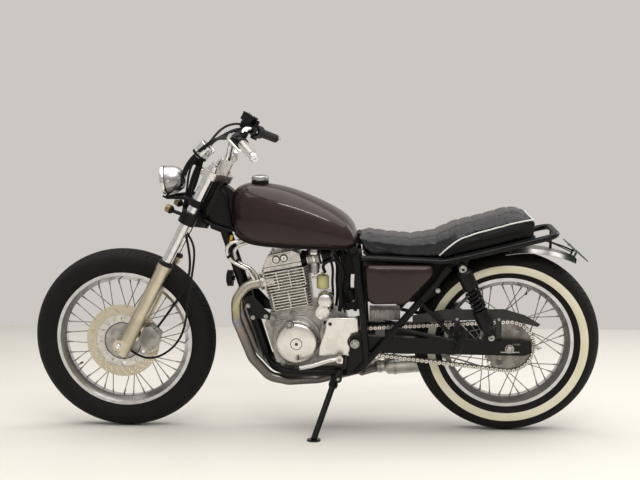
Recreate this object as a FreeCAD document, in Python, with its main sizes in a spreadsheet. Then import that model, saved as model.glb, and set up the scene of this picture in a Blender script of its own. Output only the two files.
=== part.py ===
import FreeCAD, Part
import math
import os

import Sketcher
from FreeCAD import Placement, Rotation, Vector

# A single-cylinder cafe racer motorcycle, parked on its side stand with the steering straight.
# Design frame: X forward, Y to the rider's left, Z up, origin on the ground midway between the axles.
# Every sub-part is drawn upright in that frame, or in the frame of its wheel, fork or cylinder,
# and its Placement then leans it to the left, onto the side stand. Lengths in mm, angles in degrees.

SIZES = {
    # whole machine
    "wheelbase": 1410,
    "lean_angle": 8,
    "shift_x": -1,
    "shift_y": -152,
    "crown_half": 11,
    "fit_gap": 0.3,
    # front wheel, 19 inch rim
    "front_tyre_r": 338,
    "front_tyre_w": 100,
    "front_bead_r": 241.3,
    "front_flange_r": 253.5,
    "front_rim_w": 66,
    "front_well_r": 224,
    "front_hub_flange_r": 46,
    "front_hub_flange_y": 26,
    "front_hub_flange_w": 10,
    "front_hub_barrel_r": 27,
    "front_hub_end_y": 46,
    "front_axle_r": 8.5,
    "spoke_count": 36,
    "spoke_r": 1.8,
    "front_spoke_sweep": 52,
    "rear_spoke_sweep": 30,
    "disc_outer_r": 136,
    "disc_seat_r": 58,
    "disc_thickness": 5,
    # rear wheel, 18 inch rim
    "rear_tyre_r": 336,
    "rear_tyre_w": 116,
    "rear_bead_r": 228.6,
    "rear_flange_r": 241,
    "rear_rim_w": 76,
    "rear_well_r": 211,
    "rear_drum_r": 82,
    "rear_hub_flange_r": 92,
    "rear_hub_flange_w": 8,
    "rear_hub_right_y": 44,
    "rear_hub_left_y": 36,
    "rear_axle_r": 9,
    "brake_plate_r": 86,
    "brake_plate_w": 10,
    # chain drive
    "chain_pitch": 15.875,
    "chain_line_y": 80,
    "plate_half_height": 6.2,
    "plate_thickness": 1.6,
    "inner_plate_y": 3.4,
    "front_teeth": 15,
    "rear_teeth": 36,
    "sprocket_w": 6,
    "front_sprocket_x": -88,
    "front_sprocket_z": 356,
    # steering
    "rake": 27.7,
    "axle_lead": 57,
    "leg_lead": 38,
    "leg_y": 97,
    "fork_tube_r": 19,
    "slider_r": 26,
    "slider_top": 350,
    "slider_bottom": -30,
    "slider_bore_depth": 50,
    "axle_lug_r": 21,
    "caliper_reach": 32,
    "caliper_spoke_room": 98,
    "disc_window_r": 8,
    "disc_window_ring_r": 84,
    "disc_window_count": 8,
    "disc_drill_r": 3.5,
    "disc_drill_count": 18,
    "disc_drill_inset": 17,
    "fork_top": 733,
    "fork_cap_r": 16,
    "fork_cap_len": 12,
    "lower_yoke_bottom": 515,
    "lower_yoke_top": 560,
    "top_yoke_bottom": 700,
    "top_yoke_top": 726,
    "yoke_clamp_r": 31,
    "yoke_centre_r": 34,
    "stem_r": 14,
    "head_tube_r": 27,
    "stem_nut_r": 17,
    "stem_nut_len": 14,
    # handlebar and what it carries
    "bar_r": 11.1,
    "bar_clamp_y": 38,
    "bar_clamp_w": 24,
    "bar_clamp_r": 20,
    "bar_lead": 5,
    "bar_height": 785,
    "bar_mid_y": 74,
    "bar_knee_lead": 22,
    "bar_knee_y": 165,
    "bar_knee_height": 890,
    "bar_end_lead": -86,
    "bar_end_y": 372,
    "bar_end_height": 880,
    "bar_bend_r": 55,
    "cable_bend_r": 30,
    "grip_r": 16.5,
    "grip_len": 122,
    "bar_weight_r": 15,
    "bar_weight_len": 22,
    "perch_r": 18,
    "perch_len": 26,
    "switch_r": 23,
    "switch_len": 44,
    "lever_r": 5,
    "lever_reach": 52,
    "hose_r": 3.5,
    "hose_end_y": 74,
    "speedo_cable_r": 3,
    "mirror_hole_r": 5,
    "mirror_hole_depth": 18,
    # front lamp, instrument and small lamps
    "lamp_r": 57,
    "lamp_depth": 84,
    "lamp_lead": 184,
    "lamp_height": 598,
    "lamp_droop": 9,
    "ear_back": 22,
    "lamp_rim_w": 13,
    "lens_thickness": 4,
    "speedo_r": 30,
    "speedo_depth": 56,
    "speedo_lead": 104,
    "speedo_y": 12,
    "speedo_height": 738,
    "speedo_tilt": 22,
    "signal_r": 21,
    "signal_depth": 40,
    "signal_y": 84,
    "signal_lead": 96,
    "signal_height": 532,
    # frame
    "backbone_r": 19,
    "downtube_r": 21,
    "cradle_r": 13,
    "rail_r": 11,
    "seat_rail_y": 110,
    "cradle_y": 98,
    "pivot_tube_y": 138,
    "pivot_x": -155,
    "pivot_z": 358,
    "pivot_r": 10,
    "pivot_plate_w": 8,
    "cradle_z": 238,
    "battery_tube_r": 9,
    "hanger_r": 7,
    "mount_plate_w": 4,
    # swingarm and rear suspension
    "arm_inner_y": 95,
    "arm_w": 24,
    "arm_height": 50,
    "arm_front_x": -185,
    "arm_tube_r": 17,
    "arm_lug_w": 14,
    "arm_end_x": -790,
    "shock_y": 151,
    "shock_top_x": -533,
    "shock_top_z": 634,
    "shock_bottom_x": -636,
    "shock_bottom_z": 388,
    "shock_eye_r": 15,
    "shock_eye_w": 22,
    "shock_stud_r": 7,
    "shock_spring_r": 28,
    "shock_wire_r": 4,
    "shock_turns": 7,
    "shock_body_r": 19,
    # engine
    "case_right_y": -86,
    "case_left_y": 62,
    "stator_x": 56,
    "stator_z": 349,
    "stator_r": 74,
    "stator_out_y": 124,
    "sprocket_cover_y": 116,
    "sprocket_cover_wall": 16,
    "clutch_x": -30,
    "clutch_z": 345,
    "clutch_r": 84,
    "clutch_out_y": 130,
    "cylinder_x": 74,
    "cylinder_z": 466,
    "cylinder_tilt": 10.7,
    "barrel_len": 148,
    "core_half": 52,
    "fin_count": 14,
    "fin_thickness": 3.6,
    "fin_bottom_length": 148,
    "fin_top_length": 172,
    "fin_half_width": 78,
    "head_height": 60,
    "head_half_width": 64,
    "starter_r": 30,
    "starter_x": -46,
    "starter_z": 495.7,
    # exhaust
    "port_y": 52,
    "port_height": 114,
    "port_r": 23,
    "header_r": 18,
    "header_bend_r": 60,
    "muffler_r": 38,
    "muffler_y": -132,
    # bodywork
    "tank_half_width": 126,
    "tunnel_half_width": 30,
    "tank_clearance": 6,
    "seat_half_width": 118,
    "seat_nose_half_width": 94,
    "side_cover_y": 148,
    "side_cover_thickness": 14,
    "fender_r": 420,
    "fender_half_width": 64,
    "fender_thickness": 2,
    "fender_x": -770,
    "fender_z": 269.5,
    # side stand
    "stand_pivot_x": -77,
    "stand_pivot_y": 140,
    "stand_pivot_z": 206,
    "stand_foot_x": -12,
    "stand_foot_y": 252,
    "stand_leg_r": 11,
    "stand_foot_r": 24,
    "stand_foot_thickness": 6,
    "stand_eye_r": 16,
    "stand_eye_half": 12,
    "stand_pin_r": 6,
}

doc = FreeCAD.newDocument("cafe_racer")
sheet = doc.addObject("Spreadsheet::Sheet", "Sizes")
for row, (alias, number) in enumerate(SIZES.items(), start=1):
    sheet.set(f"A{row}", alias)
    sheet.set(f"B{row}", str(number))
    sheet.setAlias(f"B{row}", alias)
doc.recompute()


class Size:
    """A length or an angle, with the sheet expression that gives it."""

    def __init__(self, value, text):
        self.value = float(value)
        self.text = text

    def __float__(self):
        return self.value

    def __neg__(self):
        return Size(-self.value, f"(0 - {self.text})")

    def __add__(self, other):
        other = as_size(other)
        return Size(self.value + other.value, f"({self.text} + {other.text})")

    def __sub__(self, other):
        other = as_size(other)
        return Size(self.value - other.value, f"({self.text} - {other.text})")

    def __mul__(self, other):
        other = as_size(other)
        return Size(self.value * other.value, f"({self.text} * {other.text})")

    def __truediv__(self, other):
        other = as_size(other)
        return Size(self.value / other.value, f"({self.text} / {other.text})")

    def __radd__(self, other):
        return as_size(other) + self

    def __rsub__(self, other):
        return as_size(other) - self

    def __rmul__(self, other):
        return as_size(other) * self


def as_size(number):
    return number if isinstance(number, Size) else Size(number, f"({number})")


class SheetSizes:
    """Gives each alias of the sheet as an attribute."""

    def __getattr__(self, alias):
        return Size(sheet.get(alias), "Sizes." + alias)


s = SheetSizes()


def cosine(angle):
    return math.cos(math.radians(float(angle)))


def sine(angle):
    return math.sin(math.radians(float(angle)))


def point(x, y, z):
    return Vector(float(x), float(y), float(z))


X_AXIS = Vector(1, 0, 0)
Y_AXIS = Vector(0, 1, 0)
Z_AXIS = Vector(0, 0, 1)
UPRIGHT = Placement()

FRONT_AXLE = point(s.wheelbase / 2, 0, s.front_tyre_r)
REAR_AXLE = point(-s.wheelbase / 2, 0, s.rear_tyre_r)
FRONT_WHEEL = Placement(FRONT_AXLE, Rotation())
REAR_WHEEL = Placement(REAR_AXLE, Rotation())

# Fork frame: Z up the steering axis, X forward across it, origin beside the front axle.
FORWARD = Vector(cosine(s.rake), 0, sine(s.rake))
FORK_ORIGIN = FRONT_AXLE - FORWARD * float(s.axle_lead)
FORK = Placement(FORK_ORIGIN, Rotation(Y_AXIS, -float(s.rake)))

# Cylinder frame: Z up the bore, origin at the middle of the barrel's foot.
CYLINDER = Placement(point(s.cylinder_x, 0, s.cylinder_z), Rotation(Y_AXIS, float(s.cylinder_tilt)))

# The tyres stand on the edge of their flat crown, so the whole machine is raised by that much.
LEAN = Placement(point(s.shift_x, s.shift_y, s.crown_half * sine(s.lean_angle)),
                 Rotation(X_AXIS, -float(s.lean_angle)))

nodes = {}


def node(label, made, place=UPRIGHT):
    """Name a finished sub-part and put it in its leaned place."""
    made.Label = label
    nodes[label] = (made, place)
    return made


# Features


def new_body(name):
    return doc.addObject("PartDesign::Body", name)


def origin_plane(body, role):
    return next(plane for plane in body.Origin.OriginFeatures if plane.Role == role)


def new_sketch(body, role, offset):
    """An empty sketch on one of the body's own planes, moved along that plane's normal."""
    sketch = body.newObject("Sketcher::SketchObject", f"{body.Name}_sketch")
    sketch.AttachmentSupport = [(origin_plane(body, role), "")]
    sketch.MapMode = "FlatFace"
    sketch.setExpression("AttachmentOffset.Base.z", as_size(offset).text)
    return sketch


def bind_constraint(sketch, kind, arguments, amount):
    index = sketch.addConstraint(Sketcher.Constraint(kind, *arguments, float(amount)))
    sketch.setExpression(f"Constraints[{index}]", as_size(amount).text)


def outline(body, role, corners, offset=0):
    """A closed sketch of straight sides, each corner bound to the sheet."""
    sketch = new_sketch(body, role, offset)
    places = [Vector(float(across), float(up), 0) for across, up in corners]
    count = len(places)
    for index in range(count):
        sketch.addGeometry(Part.LineSegment(places[index], places[(index + 1) % count]), False)
    for index in range(count):
        sketch.addConstraint(Sketcher.Constraint("Coincident", index, 2, (index + 1) % count, 1))
    for index, (across, up) in enumerate(corners):
        bind_constraint(sketch, "DistanceX", (-1, 1, index, 1), across)
        bind_constraint(sketch, "DistanceY", (-1, 1, index, 1), up)
    return sketch


def circle(body, role, across, up, radius, offset=0):
    """A round sketch bound to the sheet."""
    sketch = new_sketch(body, role, offset)
    centre = Vector(float(across), float(up), 0)
    sketch.addGeometry(Part.Circle(centre, Z_AXIS, float(radius)), False)
    bind_constraint(sketch, "DistanceX", (-1, 1, 0, 3), across)
    bind_constraint(sketch, "DistanceY", (-1, 1, 0, 3), up)
    bind_constraint(sketch, "Radius", (0,), radius)
    return sketch


def pad(body, sketch, length):
    feature = body.newObject("PartDesign::Pad", f"{body.Name}_pad")
    feature.Profile = sketch
    feature.setExpression("Length", as_size(length).text)
    return feature


def pocket(body, sketch, length, reverse=False):
    """Cut away, along the sketch's normal when reversed, and make sure that it cut."""
    doc.recompute()
    before = body.Shape.Volume
    feature = body.newObject("PartDesign::Pocket", f"{body.Name}_pocket")
    feature.Profile = sketch
    feature.Reversed = reverse
    feature.setExpression("Length", as_size(length).text)
    doc.recompute()
    if body.Shape.Volume > before - 1:
        raise RuntimeError(f"{feature.Name} cuts nothing")
    return feature


def turned(name, half_profile, angle=360):
    """A body of revolution about its own Y axis, from (radius, Y) corners."""
    body = new_body(name)
    sketch = outline(body, "XY_Plane", half_profile)
    feature = body.newObject("PartDesign::Revolution", f"{name}_turn")
    feature.Profile = sketch
    feature.ReferenceAxis = (sketch, ["V_Axis"])
    feature.setExpression("Angle", as_size(angle).text)
    return body


def plate(name, corners, left_y, width):
    """A flat piece seen from the side: (X, Z) corners, its left face at left_y, width to the right."""
    body = new_body(name)
    sketch = outline(body, "XZ_Plane", corners, -as_size(left_y))
    pad(body, sketch, width)
    return body


def aimed(start, direction):
    """The placement that puts a piece's own Z along a direction from a start point."""
    return Placement(start, Rotation(Z_AXIS, direction))


def cylinder(name, radius, length, start, direction=Y_AXIS):
    made = doc.addObject("Part::Cylinder", name)
    made.setExpression("Radius", as_size(radius).text)
    made.setExpression("Height", as_size(length).text)
    made.Placement = aimed(start, direction)
    return made


def cone(name, radius_1, radius_2, length, start, direction):
    made = doc.addObject("Part::Cone", name)
    made.setExpression("Radius1", as_size(radius_1).text)
    made.setExpression("Radius2", as_size(radius_2).text)
    made.setExpression("Height", as_size(length).text)
    made.Placement = aimed(start, direction)
    return made


def rod(name, radius, start, end):
    """A round bar between two points."""
    run = end - start
    return cylinder(name, radius, run.Length, start, run)


def block(name, low, high):
    """A box between two opposite corners."""
    made = doc.addObject("Part::Box", name)
    for prop, first, last in zip(("Length", "Width", "Height"), low, high):
        made.setExpression(prop, (as_size(last) - as_size(first)).text)
    made.Placement = Placement(point(*low), Rotation())
    return made


def joined(name, pieces):
    made = doc.addObject("Part::MultiFuse", name)
    made.Shapes = pieces
    return made


def welded(name, pieces):
    """Pieces fused one after another, where many tubes cross."""
    whole = pieces[0]
    for index, piece in enumerate(pieces[1:], start=1):
        fused = doc.addObject("Part::Fuse", f"{name}_{index}")
        fused.Base = whole
        fused.Tool = piece
        whole = fused
    return whole


def cut_by(name, base, tool):
    made = doc.addObject("Part::Cut", name)
    made.Base = base
    made.Tool = tool
    return made


def together(name, pieces):
    """Separate solids that share one node."""
    made = doc.addObject("Part::Compound", name)
    made.Links = pieces
    return made


def mirrored(source):
    """The same piece on the other side of the centre plane."""
    made = doc.addObject("Part::Mirroring", f"{source.Name}_mirror")
    made.Source = source
    made.Base = Vector()
    made.Normal = Y_AXIS
    return made


def both_sides(name, left_piece):
    return together(name, [left_piece, mirrored(left_piece)])


def coded(name, shape):
    """A shape made with Part's own functions, where no feature fits."""
    made = doc.addObject("Part::Feature", name)
    made.Shape = shape
    return made


def bend_path(points, bend_r):
    """Straight runs joined by tangent arcs, each as large as bend_r or its runs allow."""
    starts = []
    ends = []
    arcs = []
    for before, corner, after in zip(points, points[1:], points[2:]):
        to_before = (before - corner).normalize()
        to_after = (after - corner).normalize()
        half_turn = (math.pi - to_before.getAngle(to_after)) / 2
        room = 0.45 * min((before - corner).Length, (after - corner).Length)
        radius = min(float(bend_r), room / math.tan(half_turn))
        reach = radius * math.tan(half_turn)
        arc_start = corner + to_before * reach
        arc_end = corner + to_after * reach
        inward = (to_before + to_after).normalize()
        middle = corner + inward * (radius / math.cos(half_turn) - radius)
        arcs.append(Part.Arc(arc_start, middle, arc_end).toShape())
        ends.append(arc_start)
        starts.append(arc_end)
    starts = [points[0]] + starts
    ends = ends + [points[-1]]
    edges = []
    for index, (start, end) in enumerate(zip(starts, ends)):
        edges.append(Part.LineSegment(start, end).toShape())
        if index < len(arcs):
            edges.append(arcs[index])
    return Part.Wire(edges)


def tube(name, points, radius, bend_r=1000):
    """A round bent tube along points, checked against its section times its length."""
    path = bend_path(points, bend_r)
    section = Part.Wire(Part.makeCircle(float(radius), points[0], points[1] - points[0]))
    shape = path.makePipeShell([section], True, False)
    expected = math.pi * float(radius) ** 2 * path.Length
    if abs(shape.Volume / expected - 1) > 0.01:
        raise RuntimeError(f"{name} has volume {shape.Volume:.0f}, not {expected:.0f}")
    return coded(name, shape)


# Wheels, each in its own frame with the axle along Y


def make_tyre(label, radius, width, bead_r, flange_r, rim_w, place):
    side = width / 2
    seat = rim_w / 2 - 7
    height = radius - flange_r
    half = [
        (bead_r + s.fit_gap, seat),
        (flange_r + height * 0.45, side),
        (radius - height * 0.2, side * 0.78),
        (radius, s.crown_half),
    ]
    other = [(r, -y) for r, y in reversed(half)]
    return node(label, turned(label, half + other), place)


def make_rim(label, bead_r, flange_r, width, well_r, place):
    half = [
        (flange_r, width / 2),
        (bead_r, width / 2 - 6),
    ]
    inside = [
        (flange_r - 12, -width / 2),
        (well_r, -width / 2 * 0.35),
        (well_r, width / 2 * 0.35),
        (flange_r - 12, width / 2),
    ]
    other = [(r, -y) for r, y in reversed(half)]
    return node(label, turned(label, half + other + inside), place)


def hexagon_bar(start, end, radius):
    """A straight six-sided bar, as a spoke is drawn here."""
    place = aimed(start, end - start)
    corners = [Vector(radius * cosine(60 * k), radius * sine(60 * k), 0) for k in range(7)]
    face = Part.Face(Part.makePolygon([place.multVec(corner) for corner in corners]))
    return face.extrude(end - start)


def make_spokes(label, hub_r, inner_y, outer_y, rim_r, rim_y, sweep, place):
    """Crossed spokes: every second one to each flange, pulling by turns forward and back."""
    bars = []
    count = int(float(s.spoke_count))
    for index in range(count):
        side = 1 if index % 2 == 0 else -1
        pull = 1 if index // 2 % 2 == 0 else -1
        rim_angle = 360 / count * (index + 0.5)
        hub_angle = rim_angle + pull * float(sweep)
        hub_y = side * float(outer_y if pull > 0 else inner_y)
        start = Vector(float(hub_r) * cosine(hub_angle), hub_y, float(hub_r) * sine(hub_angle))
        end_r = float(rim_r - s.spoke_r / 2)
        end = Vector(end_r * cosine(rim_angle), side * rim_y, end_r * sine(rim_angle))
        bars.append(hexagon_bar(start, end, float(s.spoke_r)))
    return node(label, coded(label, Part.Compound(bars)), place)


def make_front_wheel():
    make_tyre("front_tyre", s.front_tyre_r, s.front_tyre_w, s.front_bead_r, s.front_flange_r,
              s.front_rim_w, FRONT_WHEEL)
    make_rim("front_rim", s.front_bead_r, s.front_flange_r, s.front_rim_w, s.front_well_r, FRONT_WHEEL)
    flange_in = s.front_hub_flange_y
    flange_out = flange_in + s.front_hub_flange_w
    bore = s.front_axle_r + 0.5
    hub = turned("front_hub", [
        (bore, -s.front_hub_end_y),
        (bore, s.front_hub_end_y),
        (s.disc_seat_r, s.front_hub_end_y),
        (s.disc_seat_r, s.front_hub_end_y - 5),
        (s.front_hub_barrel_r, flange_out),
        (s.front_hub_flange_r, flange_out),
        (s.front_hub_flange_r, flange_in),
        (s.front_hub_barrel_r, flange_in),
        (s.front_hub_barrel_r, -flange_in),
        (s.front_hub_flange_r, -flange_in),
        (s.front_hub_flange_r, -flange_out),
        (s.front_hub_barrel_r, -flange_out),
        (s.front_hub_barrel_r - 3, -s.front_hub_end_y),
    ])
    node("front_hub", hub, FRONT_WHEEL)
    make_spokes("front_spokes", s.front_hub_flange_r + 2, flange_in + 2, flange_out - 2,
                s.front_well_r, 7, s.front_spoke_sweep, FRONT_WHEEL)
    make_front_disc()


def make_front_disc():
    """Brake disc: a ring on a dished carrier that sits on the hub's left face."""
    seat_y = s.front_hub_end_y
    disc = turned("front_brake_disc", [
        (s.front_axle_r + 10, seat_y),
        (s.disc_outer_r, seat_y),
        (s.disc_outer_r, seat_y + s.disc_thickness),
        (s.front_axle_r + 10, seat_y + s.disc_thickness),
    ])
    windows = int(float(s.disc_window_count))
    drillings = int(float(s.disc_drill_count))
    holes = [ring_hole("disc_window", s.disc_window_r, s.disc_window_ring_r, 360 / windows * index)
             for index in range(windows)]
    holes += [ring_hole("disc_drilling", s.disc_drill_r, s.disc_outer_r - s.disc_drill_inset,
                        360 / drillings * index) for index in range(drillings)]
    node("front_brake_disc", cut_by("front_brake_disc_cut", disc, together("disc_holes", holes)), FRONT_WHEEL)


def ring_hole(name, radius, ring_r, angle):
    """A hole through the disc, on a ring of holes about the axle."""
    low_y = s.front_hub_end_y - 1
    return cylinder(name, radius, s.disc_thickness + 2,
                    point(ring_r * cosine(angle), low_y, ring_r * sine(angle)))


def make_rear_wheel():
    make_tyre("rear_tyre", s.rear_tyre_r, s.rear_tyre_w, s.rear_bead_r, s.rear_flange_r,
              s.rear_rim_w, REAR_WHEEL)
    make_rim("rear_rim", s.rear_bead_r, s.rear_flange_r, s.rear_rim_w, s.rear_well_r, REAR_WHEEL)
    bore = s.rear_axle_r + 0.5
    left = s.rear_hub_left_y
    right = s.rear_hub_right_y
    carrier_y = s.chain_line_y - s.sprocket_w / 2
    hub = turned("rear_hub", [
        (bore, -right),
        (bore, carrier_y),
        (s.rear_drum_r - 22, carrier_y),
        (s.rear_drum_r - 14, left),
        (s.rear_hub_flange_r, left),
        (s.rear_hub_flange_r, left - s.rear_hub_flange_w),
        (s.rear_drum_r, left - s.rear_hub_flange_w - 4),
        (s.rear_drum_r, -right + s.rear_hub_flange_w + 4),
        (s.rear_hub_flange_r, -right + s.rear_hub_flange_w),
        (s.rear_hub_flange_r, -right),
    ])
    node("rear_hub", hub, REAR_WHEEL)
    make_spokes("rear_spokes", s.rear_hub_flange_r + 2, s.rear_hub_left_y - 6, s.rear_hub_left_y - 2,
                s.rear_well_r, 7, s.rear_spoke_sweep, REAR_WHEEL)
    make_rear_sprocket()


def pitch_radius(teeth):
    return float(s.chain_pitch) / 2 / sine(180 / float(teeth))


def sprocket_shape(teeth, width, centre, phase):
    """A toothed wheel across Y: pointed teeth with a flat at each root."""
    count = int(float(teeth))
    pitch_r = pitch_radius(teeth)
    tip_r = pitch_r + float(s.chain_pitch) * 0.25
    root_r = pitch_r - float(s.chain_pitch) * 0.35
    corners = []
    for tooth in range(count):
        middle = phase + 360 / count * tooth
        for radius, turn in ((root_r, -0.26), (tip_r, -0.07), (tip_r, 0.07), (root_r, 0.26)):
            angle = middle + turn * 360 / count
            corners.append(centre + Vector(radius * cosine(angle), 0, radius * sine(angle)))
    face = Part.Face(Part.makePolygon(corners + corners[:1]))
    shape = face.extrude(Vector(0, float(width), 0))
    shape.translate(Vector(0, -float(width) / 2, 0))
    return shape


def make_rear_sprocket():
    centre = point(0, s.chain_line_y, 0)
    front = point(s.front_sprocket_x, 0, s.front_sprocket_z)
    slope = math.degrees(math.atan2(front.z - REAR_AXLE.z, front.x - REAR_AXLE.x))
    blank = sprocket_shape(s.rear_teeth, s.sprocket_w, centre, slope)
    hole = Part.makeCylinder(float(s.rear_axle_r) + 6, 100, centre - Y_AXIS * 50, Y_AXIS)
    windows = []
    for index in range(6):
        angle = 60 * index
        middle = centre + Vector(66 * cosine(angle), -50, 66 * sine(angle))
        windows.append(Part.makeCylinder(11, 100, middle, Y_AXIS))
    sprocket = coded("rear_sprocket", blank.cut([hole] + windows))
    node("rear_sprocket", sprocket, REAR_WHEEL)


def chain_points():
    """Where the chain's pins lie: round both sprockets in whole teeth, in straight runs between."""
    front = point(s.front_sprocket_x, 0, s.front_sprocket_z)
    spots = []
    for centre, teeth, ahead in ((REAR_AXLE, s.rear_teeth, 180), (front, s.front_teeth, 0)):
        step = 360 / float(teeth)
        run = front - REAR_AXLE
        slope = math.degrees(math.atan2(run.z, run.x))
        wrap = 180 + (1 if ahead else -1) * 2 * math.degrees(
            math.asin((pitch_radius(s.rear_teeth) - pitch_radius(s.front_teeth)) / run.Length))
        links = 2 * int(wrap / step / 2) + 1
        radius = pitch_radius(teeth)
        turn = []
        for index in range(links + 1):
            angle = slope + ahead + (index - links / 2) * step
            turn.append(centre + Vector(radius * cosine(angle), 0, radius * sine(angle)))
        spots.append(turn)
    rear, around_front = spots
    loop = []
    for turn, following in ((rear, around_front), (around_front, rear)):
        loop += turn
        gap = following[0] - turn[-1]
        links = round(gap.Length / float(s.chain_pitch))
        loop += [turn[-1] + gap * (index / links) for index in range(1, links)]
    return loop


def link_plate(pin, next_pin, near_y, width):
    """One pointed side plate between two pins."""
    along = (next_pin - pin).normalize()
    across = Vector(-along.z, 0, along.x)
    reach = (next_pin - pin).Length
    half = float(s.plate_half_height)
    profile = ((-6, 0), (-2.5, half), (reach + 2.5, half), (reach + 6, 0), (reach + 2.5, -half), (-2.5, -half))
    corners = [pin + along * run + across * rise + Y_AXIS * near_y for run, rise in profile]
    return Part.Face(Part.makePolygon(corners + corners[:1])).extrude(Y_AXIS * width)


def make_drive_chain():
    """Roller chain: paired plates, inner and outer by turns; between the sprockets the inner
    links are drawn closed, with their rollers."""
    pins = chain_points()
    front = point(s.front_sprocket_x, 0, s.front_sprocket_z)
    pitch = float(s.chain_pitch)

    def free(pin):
        """Whether a pin is a whole link away from both sprockets."""
        return ((pin - REAR_AXLE).Length > pitch_radius(s.rear_teeth) + pitch
                and (pin - front).Length > pitch_radius(s.front_teeth) + pitch)

    middle = float(s.chain_line_y)
    inner = float(s.inner_plate_y)
    wall = float(s.plate_thickness)
    links = []
    for index, pin in enumerate(pins):
        next_pin = pins[(index + 1) % len(pins)]
        near = inner if index % 2 else inner + wall + 0.2
        if index % 2 and free(pin) and free(next_pin):
            links.append(link_plate(pin, next_pin, middle - near - wall, 2 * (near + wall)))
        else:
            links.append(link_plate(pin, next_pin, middle + near, wall))
            links.append(link_plate(pin, next_pin, middle - near - wall, wall))
    node("drive_chain", coded("drive_chain", Part.Compound(links)))
    print(f"chain of {len(pins)} links")


def make_front_sprocket():
    centre = point(s.front_sprocket_x, s.chain_line_y, s.front_sprocket_z)
    slope = math.degrees(math.atan2(centre.z - REAR_AXLE.z, centre.x - REAR_AXLE.x))
    wheel = sprocket_shape(s.front_teeth, s.sprocket_w, centre, slope)
    low = s.case_left_y + 0.2
    shaft = Part.makeCylinder(14, float(s.chain_line_y - s.sprocket_w / 2 - low),
                              point(s.front_sprocket_x, low, s.front_sprocket_z), Y_AXIS)
    node("front_sprocket", coded("front_sprocket", wheel.fuse(shaft)))


# Front fork, steering and controls, in the fork frame


def make_sliders():
    height = s.slider_top - s.slider_bottom
    leg = cylinder("slider_leg", s.slider_r, height, point(s.leg_lead, s.leg_y, s.slider_bottom), Z_AXIS)
    collar = cylinder("slider_collar", s.slider_r + 2, 26,
                      point(s.leg_lead, s.leg_y, s.slider_top - 26), Z_AXIS)
    lug = cylinder("axle_lug", s.axle_lug_r, s.slider_r * 2,
                   point(s.axle_lead, s.leg_y - s.slider_r, 0))
    solid = joined("slider_solid", [leg, collar, lug])
    bore = cylinder("slider_bore", s.fork_tube_r + s.fit_gap, s.slider_bore_depth,
                    point(s.leg_lead, s.leg_y, s.slider_top - s.slider_bore_depth), Z_AXIS)
    axle_hole = cylinder("slider_axle_hole", s.front_axle_r + s.fit_gap, s.slider_r * 4,
                         point(s.axle_lead, s.leg_y - s.slider_r * 2, 0))
    slider = cut_by("slider", solid, joined("slider_holes", [bore, axle_hole]))
    lugs = []
    for tag, low in (("low", 36), ("high", 78)):
        lugs.append(block(f"caliper_lug_{tag}",
                          (s.leg_lead - s.caliper_reach + s.fit_gap, s.leg_y - 19, low),
                          (s.leg_lead - s.slider_r + 8, s.leg_y - 5, low + 16)))
    left = joined("left_slider", [slider] + lugs)
    node("fork_sliders", together("fork_sliders", [left, mirrored(slider)]), FORK)


def make_fork_tubes():
    bottom = s.slider_top - s.slider_bore_depth
    stanchion = cylinder("stanchion", s.fork_tube_r, s.fork_top - bottom,
                         point(s.leg_lead, s.leg_y, bottom), Z_AXIS)
    cap = cylinder("fork_cap", s.fork_cap_r, s.fork_cap_len,
                   point(s.leg_lead, s.leg_y, s.fork_top), Z_AXIS)
    node("fork_tubes", both_sides("fork_tubes", joined("fork_leg", [stanchion, cap])), FORK)


def yoke(name, bottom, top):
    """A clamp plate: a boss on the steering axis and a ring round each fork tube."""
    body = new_body(f"{name}_bridge")
    waist = s.yoke_centre_r * 0.8
    corners = [
        (-s.yoke_centre_r * 0.7, waist),
        (s.leg_lead - s.yoke_clamp_r * 0.8, s.leg_y),
        (s.leg_lead + s.yoke_clamp_r * 0.8, s.leg_y),
        (s.leg_lead + 10, waist),
        (s.leg_lead + 10, -waist),
        (s.leg_lead + s.yoke_clamp_r * 0.8, -s.leg_y),
        (s.leg_lead - s.yoke_clamp_r * 0.8, -s.leg_y),
        (-s.yoke_centre_r * 0.7, -waist),
    ]
    pad(body, outline(body, "XY_Plane", corners, bottom), top - bottom)
    rings = []
    holes = []
    for side in (1, -1):
        tag = "left" if side > 0 else "right"
        foot = point(s.leg_lead, side * s.leg_y, bottom)
        rings.append(cylinder(f"{name}_clamp_{tag}", s.yoke_clamp_r, top - bottom, foot, Z_AXIS))
        hole_foot = foot - Z_AXIS * 10
        holes.append(cylinder(f"{name}_hole_{tag}", s.fork_tube_r + s.fit_gap, top - bottom + 20,
                              hole_foot, Z_AXIS))
    boss = cylinder(f"{name}_boss", s.yoke_centre_r, top - bottom, point(0, 0, bottom), Z_AXIS)
    solid = joined(f"{name}_solid", [body, boss] + rings)
    return cut_by(f"{name}_cut", solid, joined(f"{name}_holes", holes))


def make_yokes():
    stem = cylinder("steering_stem", s.stem_r, s.top_yoke_bottom - s.lower_yoke_top,
                    point(0, 0, s.lower_yoke_top), Z_AXIS)
    lower = joined("lower_yoke", [yoke("lower_yoke_plate", s.lower_yoke_bottom, s.lower_yoke_top), stem])
    node("lower_yoke", lower, FORK)
    nut = cylinder("stem_nut", s.stem_nut_r, s.stem_nut_len, point(0, 0, s.top_yoke_top), Z_AXIS)
    top = joined("top_yoke", [yoke("top_yoke_plate", s.top_yoke_bottom, s.top_yoke_top), nut])
    node("top_yoke", top, FORK)


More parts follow.
